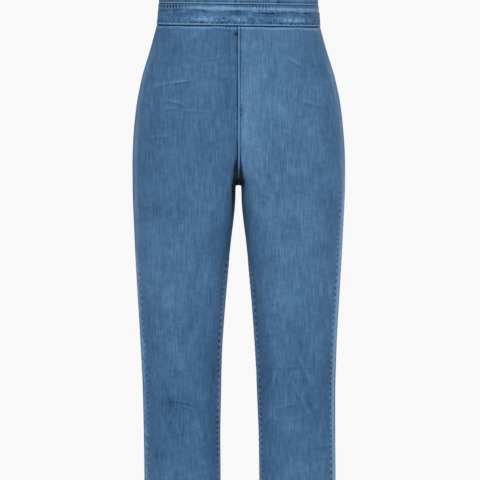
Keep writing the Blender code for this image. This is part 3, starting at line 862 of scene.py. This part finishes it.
def dress_leg(panel):
    """Relief, wear, and painted light and shade of a trouser panel."""
    z, seed = panel.z, panel.seed
    start, outer_share, inner_share, light, rim = LEG_SEAMS[panel.name]
    panel.wear -= 0.1 + 0.2 * ramp(-z, 0.8, 1.1)
    lay_creases(panel)
    lay_ease(panel, 0.001)
    strength = ramp(-z, start, start + 0.1)
    low = ramp(CROTCH - z, 0.06, 0.16)
    outside, inside = panel.side, panel.inner
    if not panel.is_back:
        across = np.abs(panel.x)
        outside = (across[:, :1] - across) * SEAM_ALLOWANCE / SIDE_SHOWN
        inside = (across - across[:, -1:]) * INSEAM_ALLOWANCE / INSEAM_SHOWN
    lay_seam(panel, panel.side, outside, z, SEAM_ALLOWANCE, outer_share * strength, seed, light)
    unseen = (1 - low) * 0.03
    inner, shown = panel.inner + unseen, inside + unseen
    lay_seam(panel, inner, shown, z, INSEAM_ALLOWANCE, inner_share * low, seed + 1.4, 0.6)
    # Painted highlight: a pale band just inside the hip's outer edge, where side light would fall
    press(panel, outside, ramp(-z, 0.44, 0.5) * (1 - 0.6 * strength), (0.012, 0.007, 0, rim))
    patchy = ramp(np.sin(z * 47 + seed) + 0.7 * np.sin(z * 113 + 2 * seed), -0.6, 0.9)
    crinkled = puckers(z + 0.7 * outside, 0.017, seed + 8)
    crinkled -= 0.5 * puckers(z - 0.5 * outside, 0.011, seed + 11)
    crinkled *= 2.8 * (1.1 - outer_share) * patchy * strength
    press(panel, outside - 0.003 * np.sin(z * 160 + seed), crinkled, (0.009, 0.0055, 0, 1))
    lay_hem(panel, panel.bottom, panel.side, HEM_DEPTH, seed)
    lay_dart(panel)
    rope = puckers(panel.side, 0.0064, seed)
    waves = 0.0006 * np.sin(panel.side * 83 + seed) + 0.0005 * np.sin(panel.side * 190)
    press(panel, panel.top - waves, 0.7 + 1.4 * rope, (0.003, 0.0015, 0, 1))
    press(panel, panel.top, 1, (0, 0.0011, 0, -1.9), (0, 0.001, -0.0008, 0))
    press(panel, panel.top, rope, (0.0028, 0.002, 0.0005, 0))
    trunk = ramp(z, CROTCH - 0.01, CROTCH + 0.012)
    if panel.is_back:
        lay_back_trunk(panel, trunk)
    else:
        lay_front_trunk(panel, trunk)
        lay_crotch_and_shade(panel, trunk)


def lay_front_trunk(panel, trunk):
    """The front's centre seam: narrow, with a thin pale line and puckers."""
    away, z = panel.inner, panel.z
    pale, dark = (0.2, 0.0018) if panel.is_right else (1.5, 0.003)
    dashes = puckers(z, 0.0098, panel.seed + 3)
    spots = hump(z + 0.572, 0.01) + 0.8 * hump(z + 0.596, 0.006) + 0.7 * hump(z + 0.428, 0.008)
    spotted = trunk * (0.25 + spots)
    press(panel, away, trunk, (0, 0.0016, 0.0007, 0), (0.0034, 0.0013, -0.0005, 0))
    press(panel, away, trunk, (0.0005, 0.0009, 0, pale), (dark, 0.001, 0, -1.1))
    press(panel, away, spotted * dashes, (0.0052, 0.003, -0.0006, 0.55))
    press(panel, away, spotted, (0.0052, 0.003, 0, -0.3))
    if panel.is_right:
        press(panel, away, trunk, (0.012, 0.02, 0, -0.16))
        press(panel, away, hump(z + 0.435, 0.003), (0.0055, 0.003, -0.0008, 0))
        press(panel, away, hump(z + 0.435, 0.0026), (0.0055, 0.0024, 0, -0.9))
    else:
        press(panel, away, trunk, (0.016, 0.024, 0, 0.22))
        panel.wear += 0.12


def lay_crotch_and_shade(panel, trunk):
    """The hollow at the crotch, with painted shade in it, and a strip of painted shade along the right
    leg's inner edge under it.
    """
    up = panel.z - CROTCH
    across = np.abs(panel.x)
    forward = -panel.grid[..., 1]
    upright = np.clip(1 - 2.5 * np.abs(panel.normals[..., 2]), 0, 1)
    panel.folds -= 0.005 * trunk * upright * hump(up - 0.01, 0.018) * hump(across, 0.008)
    # Painted shade: dark in the crotch hollow and just above it
    press(panel, across, ramp(forward, 0.03, 0.064) * hump(up, 0.013), (0, 0.0062, 0, -3.4))
    press(panel, across, hump(up - 0.015, 0.021), (0.0036, 0.0034, 0, -1.9))
    if panel.is_right:
        # Painted shade: a dark strip along the inner edge below the crotch, where the thighs shade it
        strip = ramp(-up, -0.006, 0.004) * ramp(up, -0.07, -0.04)
        wide = 0.0008 + 0.005 * ramp(up, -0.07, 0.0)
        beside = 1 - ramp(across - across[:, -1:], 0.7 * wide, wide + 0.0016)
        panel.wear -= 1.5 * ramp(forward, 0.02, 0.074) * strip * beside


def lay_zip_edge(panel, away, dashes, present):
    """The doubled edge beside the zip, with a sewn line and small puckers."""
    press(panel, away, present, (0.0075, 0.0012, -0.0004, 0), (0, 0.0014, 0, 0.5))
    press(panel, away, present, (0.009, 0.003, 0, -0.12))
    press(panel, away, present * dashes, (0.01, 0.003, -0.0004, 0), (0.009, 0.003, 0, 0.3))
    panel.thick += (LINED - CLOTH) * present * (1 - ramp(away, 0.01, 0.012))


def lay_back_trunk(panel, trunk):
    """The back's centre seam below the zip, and the edge beside the zip."""
    beside = ramp(panel.z, ZIP_END - 0.012, ZIP_END)
    below = trunk * (1 - beside)
    press(panel, panel.inner, below, (0, 0.0018, 0.0006, 0), (0.0036, 0.0014, -0.0004, 0))
    press(panel, panel.inner, below, (0, 0.0012, 0, 0.55), (0.0034, 0.0014, 0, -0.4))
    lay_zip_edge(panel, panel.inner, puckers(panel.z, 0.009, panel.seed), beside)


def dress_bodice(panel):
    """Relief, wear, and painted shade at the seams of a bodice panel."""
    grid, seed = panel.grid, panel.seed
    neck_end = BODICE_ROWS - CENTRE_ROWS[panel.is_back]
    armhole_end = BODICE_ROWS - SIDE_ROWS
    lay_creases(panel)
    lay_ease(panel, 0.0009)
    lay_hem(panel, *nearness(grid, grid[: neck_end + 1, -1]), EDGE_DEPTH, seed)
    lay_hem(panel, *nearness(grid, grid[: armhole_end + 1, 0]), EDGE_DEPTH, seed + 2)
    for line, allowance, change in ((grid[0], 0.01, 4), (grid[armhole_end:, 0], 0.012, 5)):
        away, along = nearness(grid, line)
        lay_seam(panel, away, away, along, allowance, 0.35, seed + change, 0.6)
    lay_dart(panel)
    centre, along = nearness(grid, grid[neck_end:, -1])
    if panel.is_back:
        lay_zip_edge(panel, centre, puckers(along, 0.009, seed + 6), 1.0)
    else:
        press(panel, centre, 1, (0, 0.0018, 0.0006, 0), (0.0036, 0.0014, -0.0005, 0))
        press(panel, centre, 1, (0, 0.0012, 0, 0.7), (0.004, 0.0022, 0, -0.5))
    rope = puckers(panel.side, 0.006, seed + 7)
    press(panel, panel.bottom, 1.26 + 0.9 * rope, (0.0012, 0.0011, 0, 1))
    press(panel, panel.bottom, 1, (0.003, 0.001, 0, -0.9), (0, 0.001, -0.0004, 0))
    press(panel, panel.bottom, rope, (0.006, 0.0022, 0, 0.5))


def dress_band(panel, along):
    """Relief and wear of a waistband piece. along runs across it, 0 in the middle of the front."""
    height, top, seed = panel.bottom, panel.top, panel.seed
    if panel.is_back:
        roped = 0.45
        crease = 0.0235 + 0.0018 * np.sin(along * 38 + seed) + 0.0008 * np.sin(along * 91 + seed)
        press(panel, height, puckers(along, 0.012, seed + 9), (0.0105, 0.0034, 0, 0.55))
    else:
        roped = 0.35 + 0.65 * (hump(along + 0.103, 0.024) + hump(along - 0.044, 0.014))
        crease = eased(BAND_CREASE["x"], BAND_CREASE["height"], along)
        ticks = 1.1 * puckers(along, 0.0105, seed + 9) - 0.9 * puckers(along, 0.0047, seed + 3)
        for x, middle, half_wide, half_high, strength in BAND_PATCHES:
            spread = strength * hump(along - x, half_wide)
            ragged = 0.65 + ticks if strength > RAGGED_FROM else 1.0
            press(panel, height, spread, (middle, half_high, 0.0004, 0))
            press(panel, height, spread * ragged, (middle, half_high, 0, 1.9))
    dashes = roped * puckers(along, 0.0052, seed)
    press(panel, top, dashes, (0.0052, 0.004, 0, -1.9), (0.005, 0.004, -0.0007, 0))
    press(panel, top, ramp(along, -0.1, -0.07), (0.0072, 0.0026, 0, 0.7))
    press(panel, top, 1, (0.0006, 0.0009, 0, -1.5), (0, 0.0011, -0.0008, 0))
    folded = height - crease
    broken = 0.35 + 0.65 * puckers(along, 0.047, seed + 2)
    press(panel, folded, 1, (0, 0.0016, -0.0009, 0), (-0.0036, 0.002, 0.0004, 0))
    press(panel, folded, 1, (0.003, 0.0016, 0, 0.3))
    press(panel, folded, broken, (0, 0.0015, 0, -0.85))
    scallops = puckers(along, 0.0079, seed + 5)
    press(panel, height, scallops - 0.4, (0.0085, 0.005, 0.0007, 0), (0.0075, 0.004, 0, 0.8))
    press(panel, height, scallops, (0.0049, 0.0018, 0, -1.6))
    press(panel, height, 1, (0.0023, 0.001, 0, 1.7), (0, 0.001, 0, -2.2))
    press(panel, height, 1, (0.0026, 0.0008, -0.0005, 0), (0, 0.0008, -0.0006, 0))
    press(panel, height, np.sin(along * 70 + seed), (0.018, 0.012, 0.0006, 0))
    panel.thick += BAND_CLOTH - CLOTH


def feed(tree, made, inputs):
    """Gives a shader node's inputs their values or their sources."""
    for key, value in inputs.items():
        if isinstance(value, bpy.types.NodeSocket):
            tree.links.new(value, made.inputs[key])
        else:
            made.inputs[key].default_value = value


def node(tree, kind, inputs=None, **settings):
    """Adds a shader node with its settings and its inputs."""
    made = tree.nodes.new(kind)
    for key, value in settings.items():
        setattr(made, key, value)
    feed(tree, made, inputs or {})
    return made


def new_material(name):
    """An empty material with its output, and a Principled shader."""
    material = bpy.data.materials.new(name)
    material.use_nodes = True
    tree = material.node_tree
    tree.nodes.clear()
    shader = tree.nodes.new("ShaderNodeBsdfPrincipled")
    output = tree.nodes.new("ShaderNodeOutputMaterial")
    tree.links.new(shader.outputs["BSDF"], output.inputs["Surface"])
    return material, tree, shader


def object_place(tree):
    """The object's own coordinates, in metres."""
    return node(tree, "ShaderNodeTexCoord").outputs["Object"]


def maths(tree, operation, *inputs):
    """Result of one arithmetic node."""
    return node(tree, "ShaderNodeMath", dict(enumerate(inputs)), operation=operation).outputs[0]


def sine_wave(tree, source, pitch):
    """A sine wave along a distance."""
    return maths(tree, "SINE", maths(tree, "MULTIPLY", source, 2 * math.pi / pitch))


def noise(tree, place, stretch, offset, detail=2.0, roughness=0.5):
    """Noise in stretched cloth coordinates, about 0 on the whole."""
    spread = {0: place, 1: stretch, 2: offset}
    scaled = node(tree, "ShaderNodeVectorMath", spread, operation="MULTIPLY_ADD").outputs[0]
    look = {"Vector": scaled, "Scale": 1.0, "Detail": detail, "Roughness": roughness}
    return maths(tree, "SUBTRACT", node(tree, "ShaderNodeTexNoise", look).outputs[0], 0.5)


def weighted(tree, parts, start):
    """Sum of (source, weight) parts."""
    total = start
    for source, weight in parts:
        total = maths(tree, "MULTIPLY_ADD", source, weight, total)
    return total


def mixed(tree, share, dark, pale):
    """A colour between two, by share."""
    colours = {0: share, 6: (*dark, 1.0), 7: (*pale, 1.0)}
    return node(tree, "ShaderNodeMix", colours, data_type="RGBA").outputs[2]


def bump(tree, height, strength, distance):
    """A normal that follows a height."""
    relief = {"Height": height, "Strength": strength, "Distance": distance}
    return node(tree, "ShaderNodeBump", relief).outputs[0]


def denim(name, dark, pale, streaks, wear_and_painted_light_weight, patches=(75, 80, 1), patchy=0.32, wefts=0.2):
    """Denim: lengthwise slubs, fine twill, washed clouds, and wear and painted light and shade that
    follow the relief.
    """
    material, tree, shader = new_material(name)
    place = node(tree, "ShaderNodeUVMap", uv_map="cloth").outputs[0]
    axes = node(tree, "ShaderNodeSeparateXYZ", {0: place})
    fine = noise(tree, place, (850, 34, 1), (3, 7, 0), 2.0, 0.6)
    broad = noise(tree, place, (330, 22, 1), (11, 2, 0), 2.0)
    weft = noise(tree, place, (60, 620, 1), (5, 19, 0), 1.0)
    clouds = noise(tree, place, (24, 15, 1), (31, 8, 0), 3.0, 0.6)
    mottle = noise(tree, place, patches, (17, 3, 0), 2.0, 0.6)
    wash = noise(tree, place, (6, 4, 1), (13, 5, 0), 1.0)
    speck = noise(tree, place, (1500, 1300, 1), (2, 4, 0), 1.0)
    twill = sine_wave(tree, maths(tree, "ADD", axes.outputs[0], axes.outputs[1]), TWILL_PITCH)
    # The wear values, which hold painted shade and painted highlight as well
    wear = node(tree, "ShaderNodeAttribute", attribute_name="wear").outputs["Fac"]
    parts = (
        (fine, 0.7 * streaks),
        (broad, 0.35 * streaks),
        (weft, wefts * streaks),
        (clouds, 0.42),
        (mottle, patchy),
        (wash, 0.2),
        (speck, 0.3),
        (twill, 0.045),
        (wear, 0.46 * wear_and_painted_light_weight),
    )
    tones = tree.nodes.new("ShaderNodeValToRGB")
    stops = tones.color_ramp
    stops.elements[0].color = (*[DEEP * value for value in dark], 1.0)
    stops.elements[1].color = (*pale, 1.0)
    stops.elements.new(DARK_SHARE).color = (*dark, 1.0)
    stops.elements.new(0.5).color = (*[math.sqrt(d * p) for d, p in zip(dark, pale)], 1.0)
    tree.links.new(weighted(tree, parts, 0.5), tones.inputs[0])
    height = weighted(tree, ((twill, 0.3), (fine, 1.6), (speck, 0.7), (weft, 0.5)), 0.0)
    feed(tree, shader, {
        "Base Color": tones.outputs[0],
        "Roughness": maths(tree, "MULTIPLY_ADD", clouds, -0.12, 0.86),
        "Specular IOR Level": 0.22,
        "Sheen Weight": 0.06,
        "Sheen Tint": (0.45, 0.68, 1.0, 1.0),
        "Sheen Roughness": 0.5,
        "Normal": bump(tree, height, 0.55, 0.00022),
    })
    return material


def thread_material():
    """Cotton thread, a paler blue than the cloth."""
    material, tree, shader = new_material("thread")
    place = object_place(tree)
    change = noise(tree, place, (900, 900, 900), (0, 0, 0), 1.0)
    share = maths(tree, "ADD", change, 0.5)
    feed(tree, shader, {
        "Base Color": mixed(tree, share, (0.13, 0.25, 0.42), (0.25, 0.42, 0.64)),
        "Roughness": 0.75,
        "Specular IOR Level": 0.3,
        "Normal": bump(tree, change, 0.5, 0.0001),
    })
    return material


def tape_material():
    """Woven zip tape: dark blue with a fine rib along it."""
    material, tree, shader = new_material("zip_tape")
    place = object_place(tree)
    axes = node(tree, "ShaderNodeSeparateXYZ", {0: place})
    rib, pick = sine_wave(tree, axes.outputs[0], 0.0009), sine_wave(tree, axes.outputs[2], 0.0006)
    weave = maths(tree, "MULTIPLY", rib, pick)
    fuzz = noise(tree, place, (700, 700, 120), (1, 2, 3), 2.0)
    share = weighted(tree, ((weave, 0.22), (fuzz, 0.8)), 0.45)
    feed(tree, shader, {
        "Base Color": mixed(tree, share, (0.022, 0.04, 0.08), (0.06, 0.095, 0.165)),
        "Roughness": 0.8,
        "Normal": bump(tree, weave, 0.6, 0.0002),
    })
    return material


def brass_material():
    """Satin brass with fine scratches and duller patches."""
    material, tree, shader = new_material("brass")
    place = object_place(tree)
    scratch = noise(tree, place, (2600, 900, 300), (4, 1, 9), 2.0)
    patch = noise(tree, place, (420, 420, 420), (7, 3, 5), 3.0)
    share = weighted(tree, ((scratch, 0.5), (patch, 1.0)), 0.5)
    feed(tree, shader, {
        "Base Color": mixed(tree, share, (0.36, 0.235, 0.09), (0.72, 0.54, 0.27)),
        "Metallic": 1.0,
        "Roughness": weighted(tree, ((patch, 0.5), (scratch, 0.3)), 0.34),
        "Normal": bump(tree, scratch, 0.3, 0.00005),
    })
    return material


def floor_material():
    """Matt near-white floor."""
    material, tree, shader = new_material("floor")
    place = object_place(tree)
    share = maths(tree, "ADD", noise(tree, place, (2, 2, 2), (0, 0, 0), 2.0), 0.5)
    feed(tree, shader, {
        "Base Color": mixed(tree, share, (0.9, 0.9, 0.9), (0.93, 0.93, 0.93)),
        "Roughness": 0.9,
        "Specular IOR Level": 0.1,
    })
    return material


def place_in_scene(name, data):
    """An object of the scene that shows the given data."""
    item = bpy.data.objects.new(name, data)
    bpy.context.scene.collection.objects.link(item)
    return item


def build_mesh(name, points, faces, materials):
    """An object from points and faces."""
    mesh = bpy.data.meshes.new(name)
    mesh.from_pydata(points.tolist(), [], faces)
    for material in materials:
        mesh.materials.append(material)
    return place_in_scene(name, mesh)


def grid_quads(index):
    """Faces of a grid of point numbers."""
    quads = np.stack([index[:-1, :-1], index[:-1, 1:], index[1:, 1:], index[1:, :-1]], axis=-1)
    return quads.reshape(-1, 4)


def grid_rim(index):
    """Point numbers round the edge of a grid, and the same a step further."""
    rim = np.concatenate([index[0, :-1], index[:-1, -1], index[-1, :0:-1], index[:0:-1, 0]])
    return rim, np.roll(rim, -1)


def wall_faces(rows, columns):
    """Faces of a wall whose inner grid has half as many steps each way as its outer one."""
    outer = np.arange(rows * columns).reshape(rows, columns)
    inner_rows, inner_columns = (rows + 1) // 2, (columns + 1) // 2
    inner = outer.size + np.arange(inner_rows * inner_columns).reshape(inner_rows, inner_columns)
    rim, ahead = grid_rim(outer)
    inner_rim, inner_ahead = grid_rim(inner)
    edge = np.stack([ahead[1::2], rim[1::2], rim[0::2], inner_rim, inner_ahead], axis=-1)
    return grid_quads(outer), grid_quads(inner)[:, [0, 3, 2, 1]], edge


def add_uv(mesh, name, places):
    """Adds a layer of coordinates, one for each corner."""
    layer = mesh.uv_layers.new(name=name)
    layer.data.foreach_set("uv", places.astype(np.float32).reshape(-1))


def bake_places(rows, columns, corners, edge_count, is_reversed):
    """Corners' places in the unit square: outer face on the left, inner face, then the edge."""
    margin, tall = BAKE_MARGIN, 1 - 2 * BAKE_MARGIN
    u, v = np.meshgrid(np.linspace(0, 1, columns), np.linspace(1, 0, rows))
    outer = np.stack([margin + BAKE_OUTER * u, margin + tall * v], axis=-1)
    inner = np.stack([BAKE_INNER_START + BAKE_INNER * u, margin + tall * v], axis=-1)[::2, ::2]
    places = np.concatenate([outer.reshape(-1, 2), inner.reshape(-1, 2)])[corners]
    low = margin + tall * np.arange(edge_count) / edge_count
    high = low + BAKE_FILL / edge_count
    left, right = BAKE_EDGE
    across = np.repeat([[left, left, left, right, right]], edge_count, axis=0)
    strip = np.stack([across, np.stack([high, (low + high) / 2, low, low, high], axis=-1)], axis=-1)
    places[-5 * edge_count:] = (strip[:, ::-1] if is_reversed else strip).reshape(-1, 2)
    return places


def make_wall(panel, cloth_place, materials):
    """Turns a dressed panel into one closed wall, with its cloth coordinates, bake map, and wear and
    painted light and shade.
    """
    panel.finish_shape()
    outer = panel.outer
    rows, columns = outer.shape[:2]
    points = np.concatenate([outer.reshape(-1, 3), panel.inside()[::2, ::2].reshape(-1, 3)])
    outer_quads, inner_quads, edge = wall_faces(rows, columns)
    row, column = rows // 2, columns // 2
    across = outer[row, column + 1] - outer[row, column]
    down = outer[row + 1, column] - outer[row, column]
    is_inside_out = float(np.cross(across, down) @ panel.facing[row, column]) < 0
    faces = outer_quads.tolist() + inner_quads.tolist() + edge.tolist()
    if is_inside_out:
        faces = [face[::-1] for face in faces]
    item = build_mesh(panel.name + "_cloth", points, faces, materials)
    mesh = item.data
    slots = np.zeros(len(faces), dtype=np.int32)
    slots[len(outer_quads):-len(edge)] = 1
    mesh.polygons.foreach_set("material_index", slots)
    mesh.shade_smooth()
    mesh.set_sharp_from_angle(angle=SHARP_EDGE)
    # Wear with painted shade and painted highlight at each point, and a share of it on the inner face
    wear = np.concatenate([panel.wear.reshape(-1), INNER_WEAR_AND_PAINTED_LIGHT * panel.wear[::2, ::2].reshape(-1)])
    mesh.attributes.new("wear", "FLOAT", "POINT").data.foreach_set("value", wear)
    corners = np.zeros(len(mesh.loops), dtype=np.int32)
    mesh.loops.foreach_get("vertex_index", corners)
    places = np.concatenate([cloth_place.reshape(-1, 2), cloth_place[::2, ::2].reshape(-1, 2)])
    add_uv(mesh, "cloth", places[corners])
    add_uv(mesh, "OFBake", bake_places(rows, columns, corners, len(edge), is_inside_out))
    return item


def cloth_coordinates(panel, is_crosswise):
    """Metres across the cloth from its grain line, and along it."""
    if is_crosswise:
        return np.stack([panel.bottom + panel.seed, panel.side], axis=-1)
    rows = zip(np.abs(panel.x), panel.side)
    grain = np.array([[np.interp(-GRAIN_X, -across, run)] for across, run in rows])
    along = panel.z + panel.seed * ALONG_SHIFT
    return np.stack([panel.side - grain + panel.seed, along], axis=-1)


def stitch_shape():
    """A single stitch along X: a short rounded bar, thick in the middle."""
    points = []
    faces = []
    for along, size, lift in STITCH_RINGS:
        for turn in np.linspace(0, 2 * math.pi, STITCH_SIDES, endpoint=False):
            across = THREAD * size * math.cos(turn)
            points.append((along * STITCH, across, THREAD * (size * math.sin(turn) + lift)))
    for first in range(0, len(points) - STITCH_SIDES, STITCH_SIDES):
        for k in range(STITCH_SIDES):
            a, b = first + k, first + (k + 1) % STITCH_SIDES
            faces.append((a, b, b + STITCH_SIDES, a + STITCH_SIDES))
    faces.append(tuple(range(STITCH_SIDES))[::-1])
    faces.append(tuple(range(len(points) - STITCH_SIDES, len(points))))
    return np.array(points), faces


class Sewing:
    """Collects stitches for one joined piece."""

    def __init__(self):
        self.points = []
        self.faces = []
        self.count = 0

    def add_line(self, panel, line, lift=0.0):
        """Sews along a line of points that lies near a panel's outer face."""
        shape, faces = stitch_shape()
        pitch = STITCH + STITCH_GAP
        for start in np.arange(pitch / 2, runs(line)[-1] - pitch / 2, pitch):
            ends = respaced(line, np.array([start - STITCH / 2, start + STITCH / 2]))
            first, last = [panel.tree.find_nearest(Vector(end)) for end in ends]
            if first[0] is None or last[0] is None:
                continue
            centre = (first[0] + last[0]) / 2
            along = (last[0] - first[0]).normalized()
            normal = (first[1] + last[1]).normalized()
            if normal.dot(Vector(panel.facing_at(centre))) < 0:
                normal = -normal
            aside = normal.cross(along).normalized()
            normal = along.cross(aside)
            seat = np.array(centre + normal * (THREAD * STITCH_SEAT + lift))
            self.points.append(shape @ np.array([along, aside, normal]) + seat)
            self.faces.extend(tuple(self.count + k for k in face) for face in faces)
            self.count += len(shape)

    def make(self, name, material):
        """Makes the collected stitches one piece."""
        item = build_mesh(name, np.concatenate(self.points), self.faces, [material])
        item.data.shade_smooth()
        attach(item, "garment")


def beside_edge(edge, within, distance):
    """Line inside a panel at a distance from one of its edges. within are points further in."""
    tangent = unit(np.gradient(edge, axis=0))
    inward = within - edge
    inward = inward - tangent * np.sum(inward * tangent, axis=-1, keepdims=True)
    return edge + unit(inward) * distance


def edge_offset(panel, edge, distance):
    """Line inside a panel at a distance from an edge that its rows meet at a slant."""
    tangent = unit(np.gradient(edge, axis=0))
    middle = panel.outer.reshape(-1, 3).mean(axis=0)
    inward = unit(np.cross(tangent, np.array([panel.facing_at(point) for point in edge])))
    towards = np.median(np.sum(inward * (middle - edge), axis=-1))
    return edge + (1.0 if towards > 0 else -1.0) * inward * distance


def sew_leg(panel, sewing):
    """Sewn lines of a trouser panel: hem, centre seam or zip."""
    outer = panel.outer
    sewing.add_line(panel, beside_edge(outer[-1], outer[-4], HEM_DEPTH))
    levels = panel.grid[:, -1, 2]
    if panel.is_back:
        rows = levels > ZIP_END - ZIP_PAST
        sewing.add_line(panel, beside_edge(outer[rows, -1], outer[rows, -4], ZIP_SEWN))
    elif not panel.is_right:
        rows = levels > CENTRE_SEWN_END
        line = beside_edge(outer[rows, -1], outer[rows, -4], CENTRE_SEWN)
        sewing.add_line(panel, line, CENTRE_LIFT)


def sew_bodice(panel, sewing):
    """Sewn lines of a bodice panel: neck, armhole, centre seam or zip."""
    outer = panel.outer
    neck_end = BODICE_ROWS - CENTRE_ROWS[panel.is_back]
    armhole_end = BODICE_ROWS - SIDE_ROWS
    sewing.add_line(panel, edge_offset(panel, outer[: neck_end + 1, -1], EDGE_DEPTH))
    sewing.add_line(panel, edge_offset(panel, outer[: armhole_end + 1, 0], EDGE_DEPTH))
    if panel.is_back or not panel.is_right:
        distance = ZIP_SEWN if panel.is_back else BODICE_SEWN
        sewing.add_line(panel, edge_offset(panel, outer[neck_end + 2:, -1], distance))


def sew_band(panel, sewing):
    """Sewn lines of a waistband piece, along its top and its bottom."""
    outer = panel.outer
    sewing.add_line(panel, beside_edge(outer[0], outer[3], BAND_SEWN))
    sewing.add_line(panel, beside_edge(outer[-1], outer[-4], BAND_SEWN))


def dress_panels():
    """The denim panels of the legs and the bodice, dressed but not yet made."""
    panels = []
    for face, is_back in (("front", False), ("back", True)):
        legs = trouser_grid(is_back)
        ways = bodice_ways(is_back)
        bodice = bodice_points(ways[..., 0], ways[..., 1], is_back)
        for kind, dress, grid, normals in (
            ("leg", dress_leg, legs, trouser_outward(legs, is_back)),
            ("bodice", dress_bodice, bodice, bodice_outward(ways, is_back)),
        ):
            for side in ("left", "right"):
                panels.append(Panel(f"{kind}_{face}_{side}", grid, normals))
                dress(panels[-1])
    return panels


def mirrored(left):
    """A grid of the left half that ends at the middle, carried on over the right half."""
    return np.concatenate([left, (left * MIRROR)[:, -2::-1]], axis=1)


def band_panels():
    """The waistband's three pieces, dressed but not yet made."""
    panels = []
    for is_back in (False, True):
        grid = band_grid(is_back)
        normals = outward(grid, is_back)
        normals[..., 2] = 0
        normals[:, 0, 1] = 0
        normals = unit(normals)
        grid = grid + normals * BAND_PROUD
        if is_back:
            for side in ("left", "right"):
                panel = Panel(f"waistband_back_{side}", grid, normals)
                dress_band(panel, panel.inner + panel.seed)
                panels.append(panel)
        else:
            panel = Panel("waistband_front", mirrored(grid), mirrored(normals))
            dress_band(panel, panel.x)
            panels.append(panel)
    return panels


def make_cloth():
    """Makes every denim panel and its sewing."""
    outside = denim("denim", DARK_BLUE, PALE_BLUE, 1.0, 1.0)
    band = denim("denim_band", DARK_BLUE, PALE_BLUE, 1.0, 1.2, (230, 110, 1), 0.95, 0.55)
    inside = denim("denim_inside", (0.15, 0.21, 0.29), (0.42, 0.5, 0.59), 0.7, 0.3)
    thread = thread_material()
    sew = {"leg": sew_leg, "bodice": sew_bodice, "waistband": sew_band}
    for panel in dress_panels() + band_panels():
        part = panel.name.split("_")[0]
        is_band = part == "waistband"
        cloth = [band if is_band else outside, inside]
        item = make_wall(panel, cloth_coordinates(panel, is_band), cloth)
        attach(item, "garment")
        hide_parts(panel.name)
        sewing = Sewing()
        sew[part](panel, sewing)
        sewing.make(panel.name + "_stitches", thread)


def centre_back_line():
    """Points down the middle of the garment's outer face at the back, from the neck to the zip's end."""
    upper = np.linspace(ZIP_START, BAND_TOP, ZIP_SAMPLES)
    bodice = bodice_points(np.ones_like(upper), upper, True)
    bodice[:, 0] = 0.0
    lower = np.linspace(BAND_BOTTOM, ZIP_END - ZIP_PAST, ZIP_SAMPLES // 2)
    trousers = np.stack([np.zeros_like(lower), trouser_size("back", lower), lower], axis=-1)
    return settle(np.concatenate([bodice, trousers]))


def make_teeth(brass):
    """Zip teeth in two rows that mesh, down the middle of the tape, with a stop at the end."""
    line = centre_back_line()
    places = respaced(line, np.arange(0.0, runs(line)[-1] - ZIP_STOP_REACH, TOOTH_PITCH / 2))
    along = unit(np.gradient(places, axis=0))
    out = unit(np.cross(along, [1.0, 0.0, 0.0]))
    out = np.where(out[:, 1:2] < 0, -out, out)
    half = np.array(TOOTH_SIZE) / 2
    ring = np.array([(-1, -1), (1, -1), (1, 1), (-1, 1)])
    flat = np.concatenate([ring, TOOTH_TAPER * ring]) * half[:2]
    corners = np.column_stack([flat, np.repeat([-half[2], half[2]], 4)])
    quads = ((3, 2, 1, 0), (4, 5, 6, 7), (0, 1, 5, 4), (1, 2, 6, 5), (2, 3, 7, 6), (3, 0, 4, 7))
    seats = places - out * (TAPE_DEPTH - half[2])
    sides = np.where(np.arange(len(places)) % 2, 1, -1) * (half[0] - TOOTH_REACH)
    points = []
    for seat, side, down, normal in zip(seats, sides, along, out):
        points.append(corners @ np.array([[1.0, 0.0, 0.0], down, normal]) + seat + (side, 0, 0))
    turn = np.array([[1.0, 0.0, 0.0], along[-1], out[-1]])
    points.append((corners * ZIP_STOP_SIZE) @ turn + seats[-1] + along[-1] * ZIP_STOP_REACH)
    faces = [tuple(8 * k + c for c in quad) for k in range(len(points)) for quad in quads]
    item = build_mesh("zip_teeth", np.concatenate(points), faces, [brass])
    bevel = item.modifiers.new("soft_edges", "BEVEL")
    bevel.width = TOOTH_BEVEL
    bevel.segments = 1
    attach(item, "garment")


def finish_hardware():
    """Better materials on the zip's solids."""
    brass = brass_material()
    tape = tape_material()
    for name, material in (("zip_slider", brass), ("zip_pull", brass), ("zip_tape", tape)):
        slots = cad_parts[name].data.materials
        slots.clear()
        slots.append(material)
    make_teeth(brass)


def soft_sun(name, towards, strength, spread):
    """A soft, even light that comes from a direction."""
    data = bpy.data.lights.new(name, "SUN")
    data.energy = strength
    data.angle = math.radians(spread)
    item = place_in_scene(name, data)
    item.rotation_euler = Vector(towards).to_track_quat("Z", "Y").to_euler()


def make_studio():
    """Floor, background, lights and camera."""
    turns = np.linspace(0, 2 * math.pi, FLOOR_SIDES, endpoint=False)
    round_edge = np.stack([np.cos(turns), np.sin(turns), np.zeros_like(turns)], axis=-1)
    around = round_edge * FLOOR_RADIUS + (0, 0, FLOOR)
    build_mesh("floor", around, [tuple(range(FLOOR_SIDES))], [floor_material()])
    world = bpy.data.worlds.new("studio")
    world.use_nodes = True
    tree = world.node_tree
    is_camera = tree.nodes.new("ShaderNodeLightPath").outputs["Is Camera Ray"]
    strength = maths(tree, "MULTIPLY_ADD", is_camera, BACKDROP - AMBIENT, AMBIENT)
    feed(tree, tree.nodes["Background"], {0: (1.0, 1.0, 1.0, 1.0), 1: strength})
    bpy.context.scene.world = world
    bpy.context.scene.view_settings.view_transform = "Standard"
    for light in LIGHTS:
        soft_sun(*light)
    data = bpy.data.cameras.new("camera")
    data.sensor_width = SENSOR
    data.lens = SENSOR * -CAMERA_PLACE[1] / (PIXEL * FRAME_PIXELS)
    data.clip_end = CAMERA_REACH
    camera = place_in_scene("camera", data)
    camera.location = CAMERA_PLACE
    camera.rotation_euler = (math.pi / 2, 0.0, 0.0)
    bpy.context.scene.camera = camera


make_studio()
make_cloth()
finish_hardware()
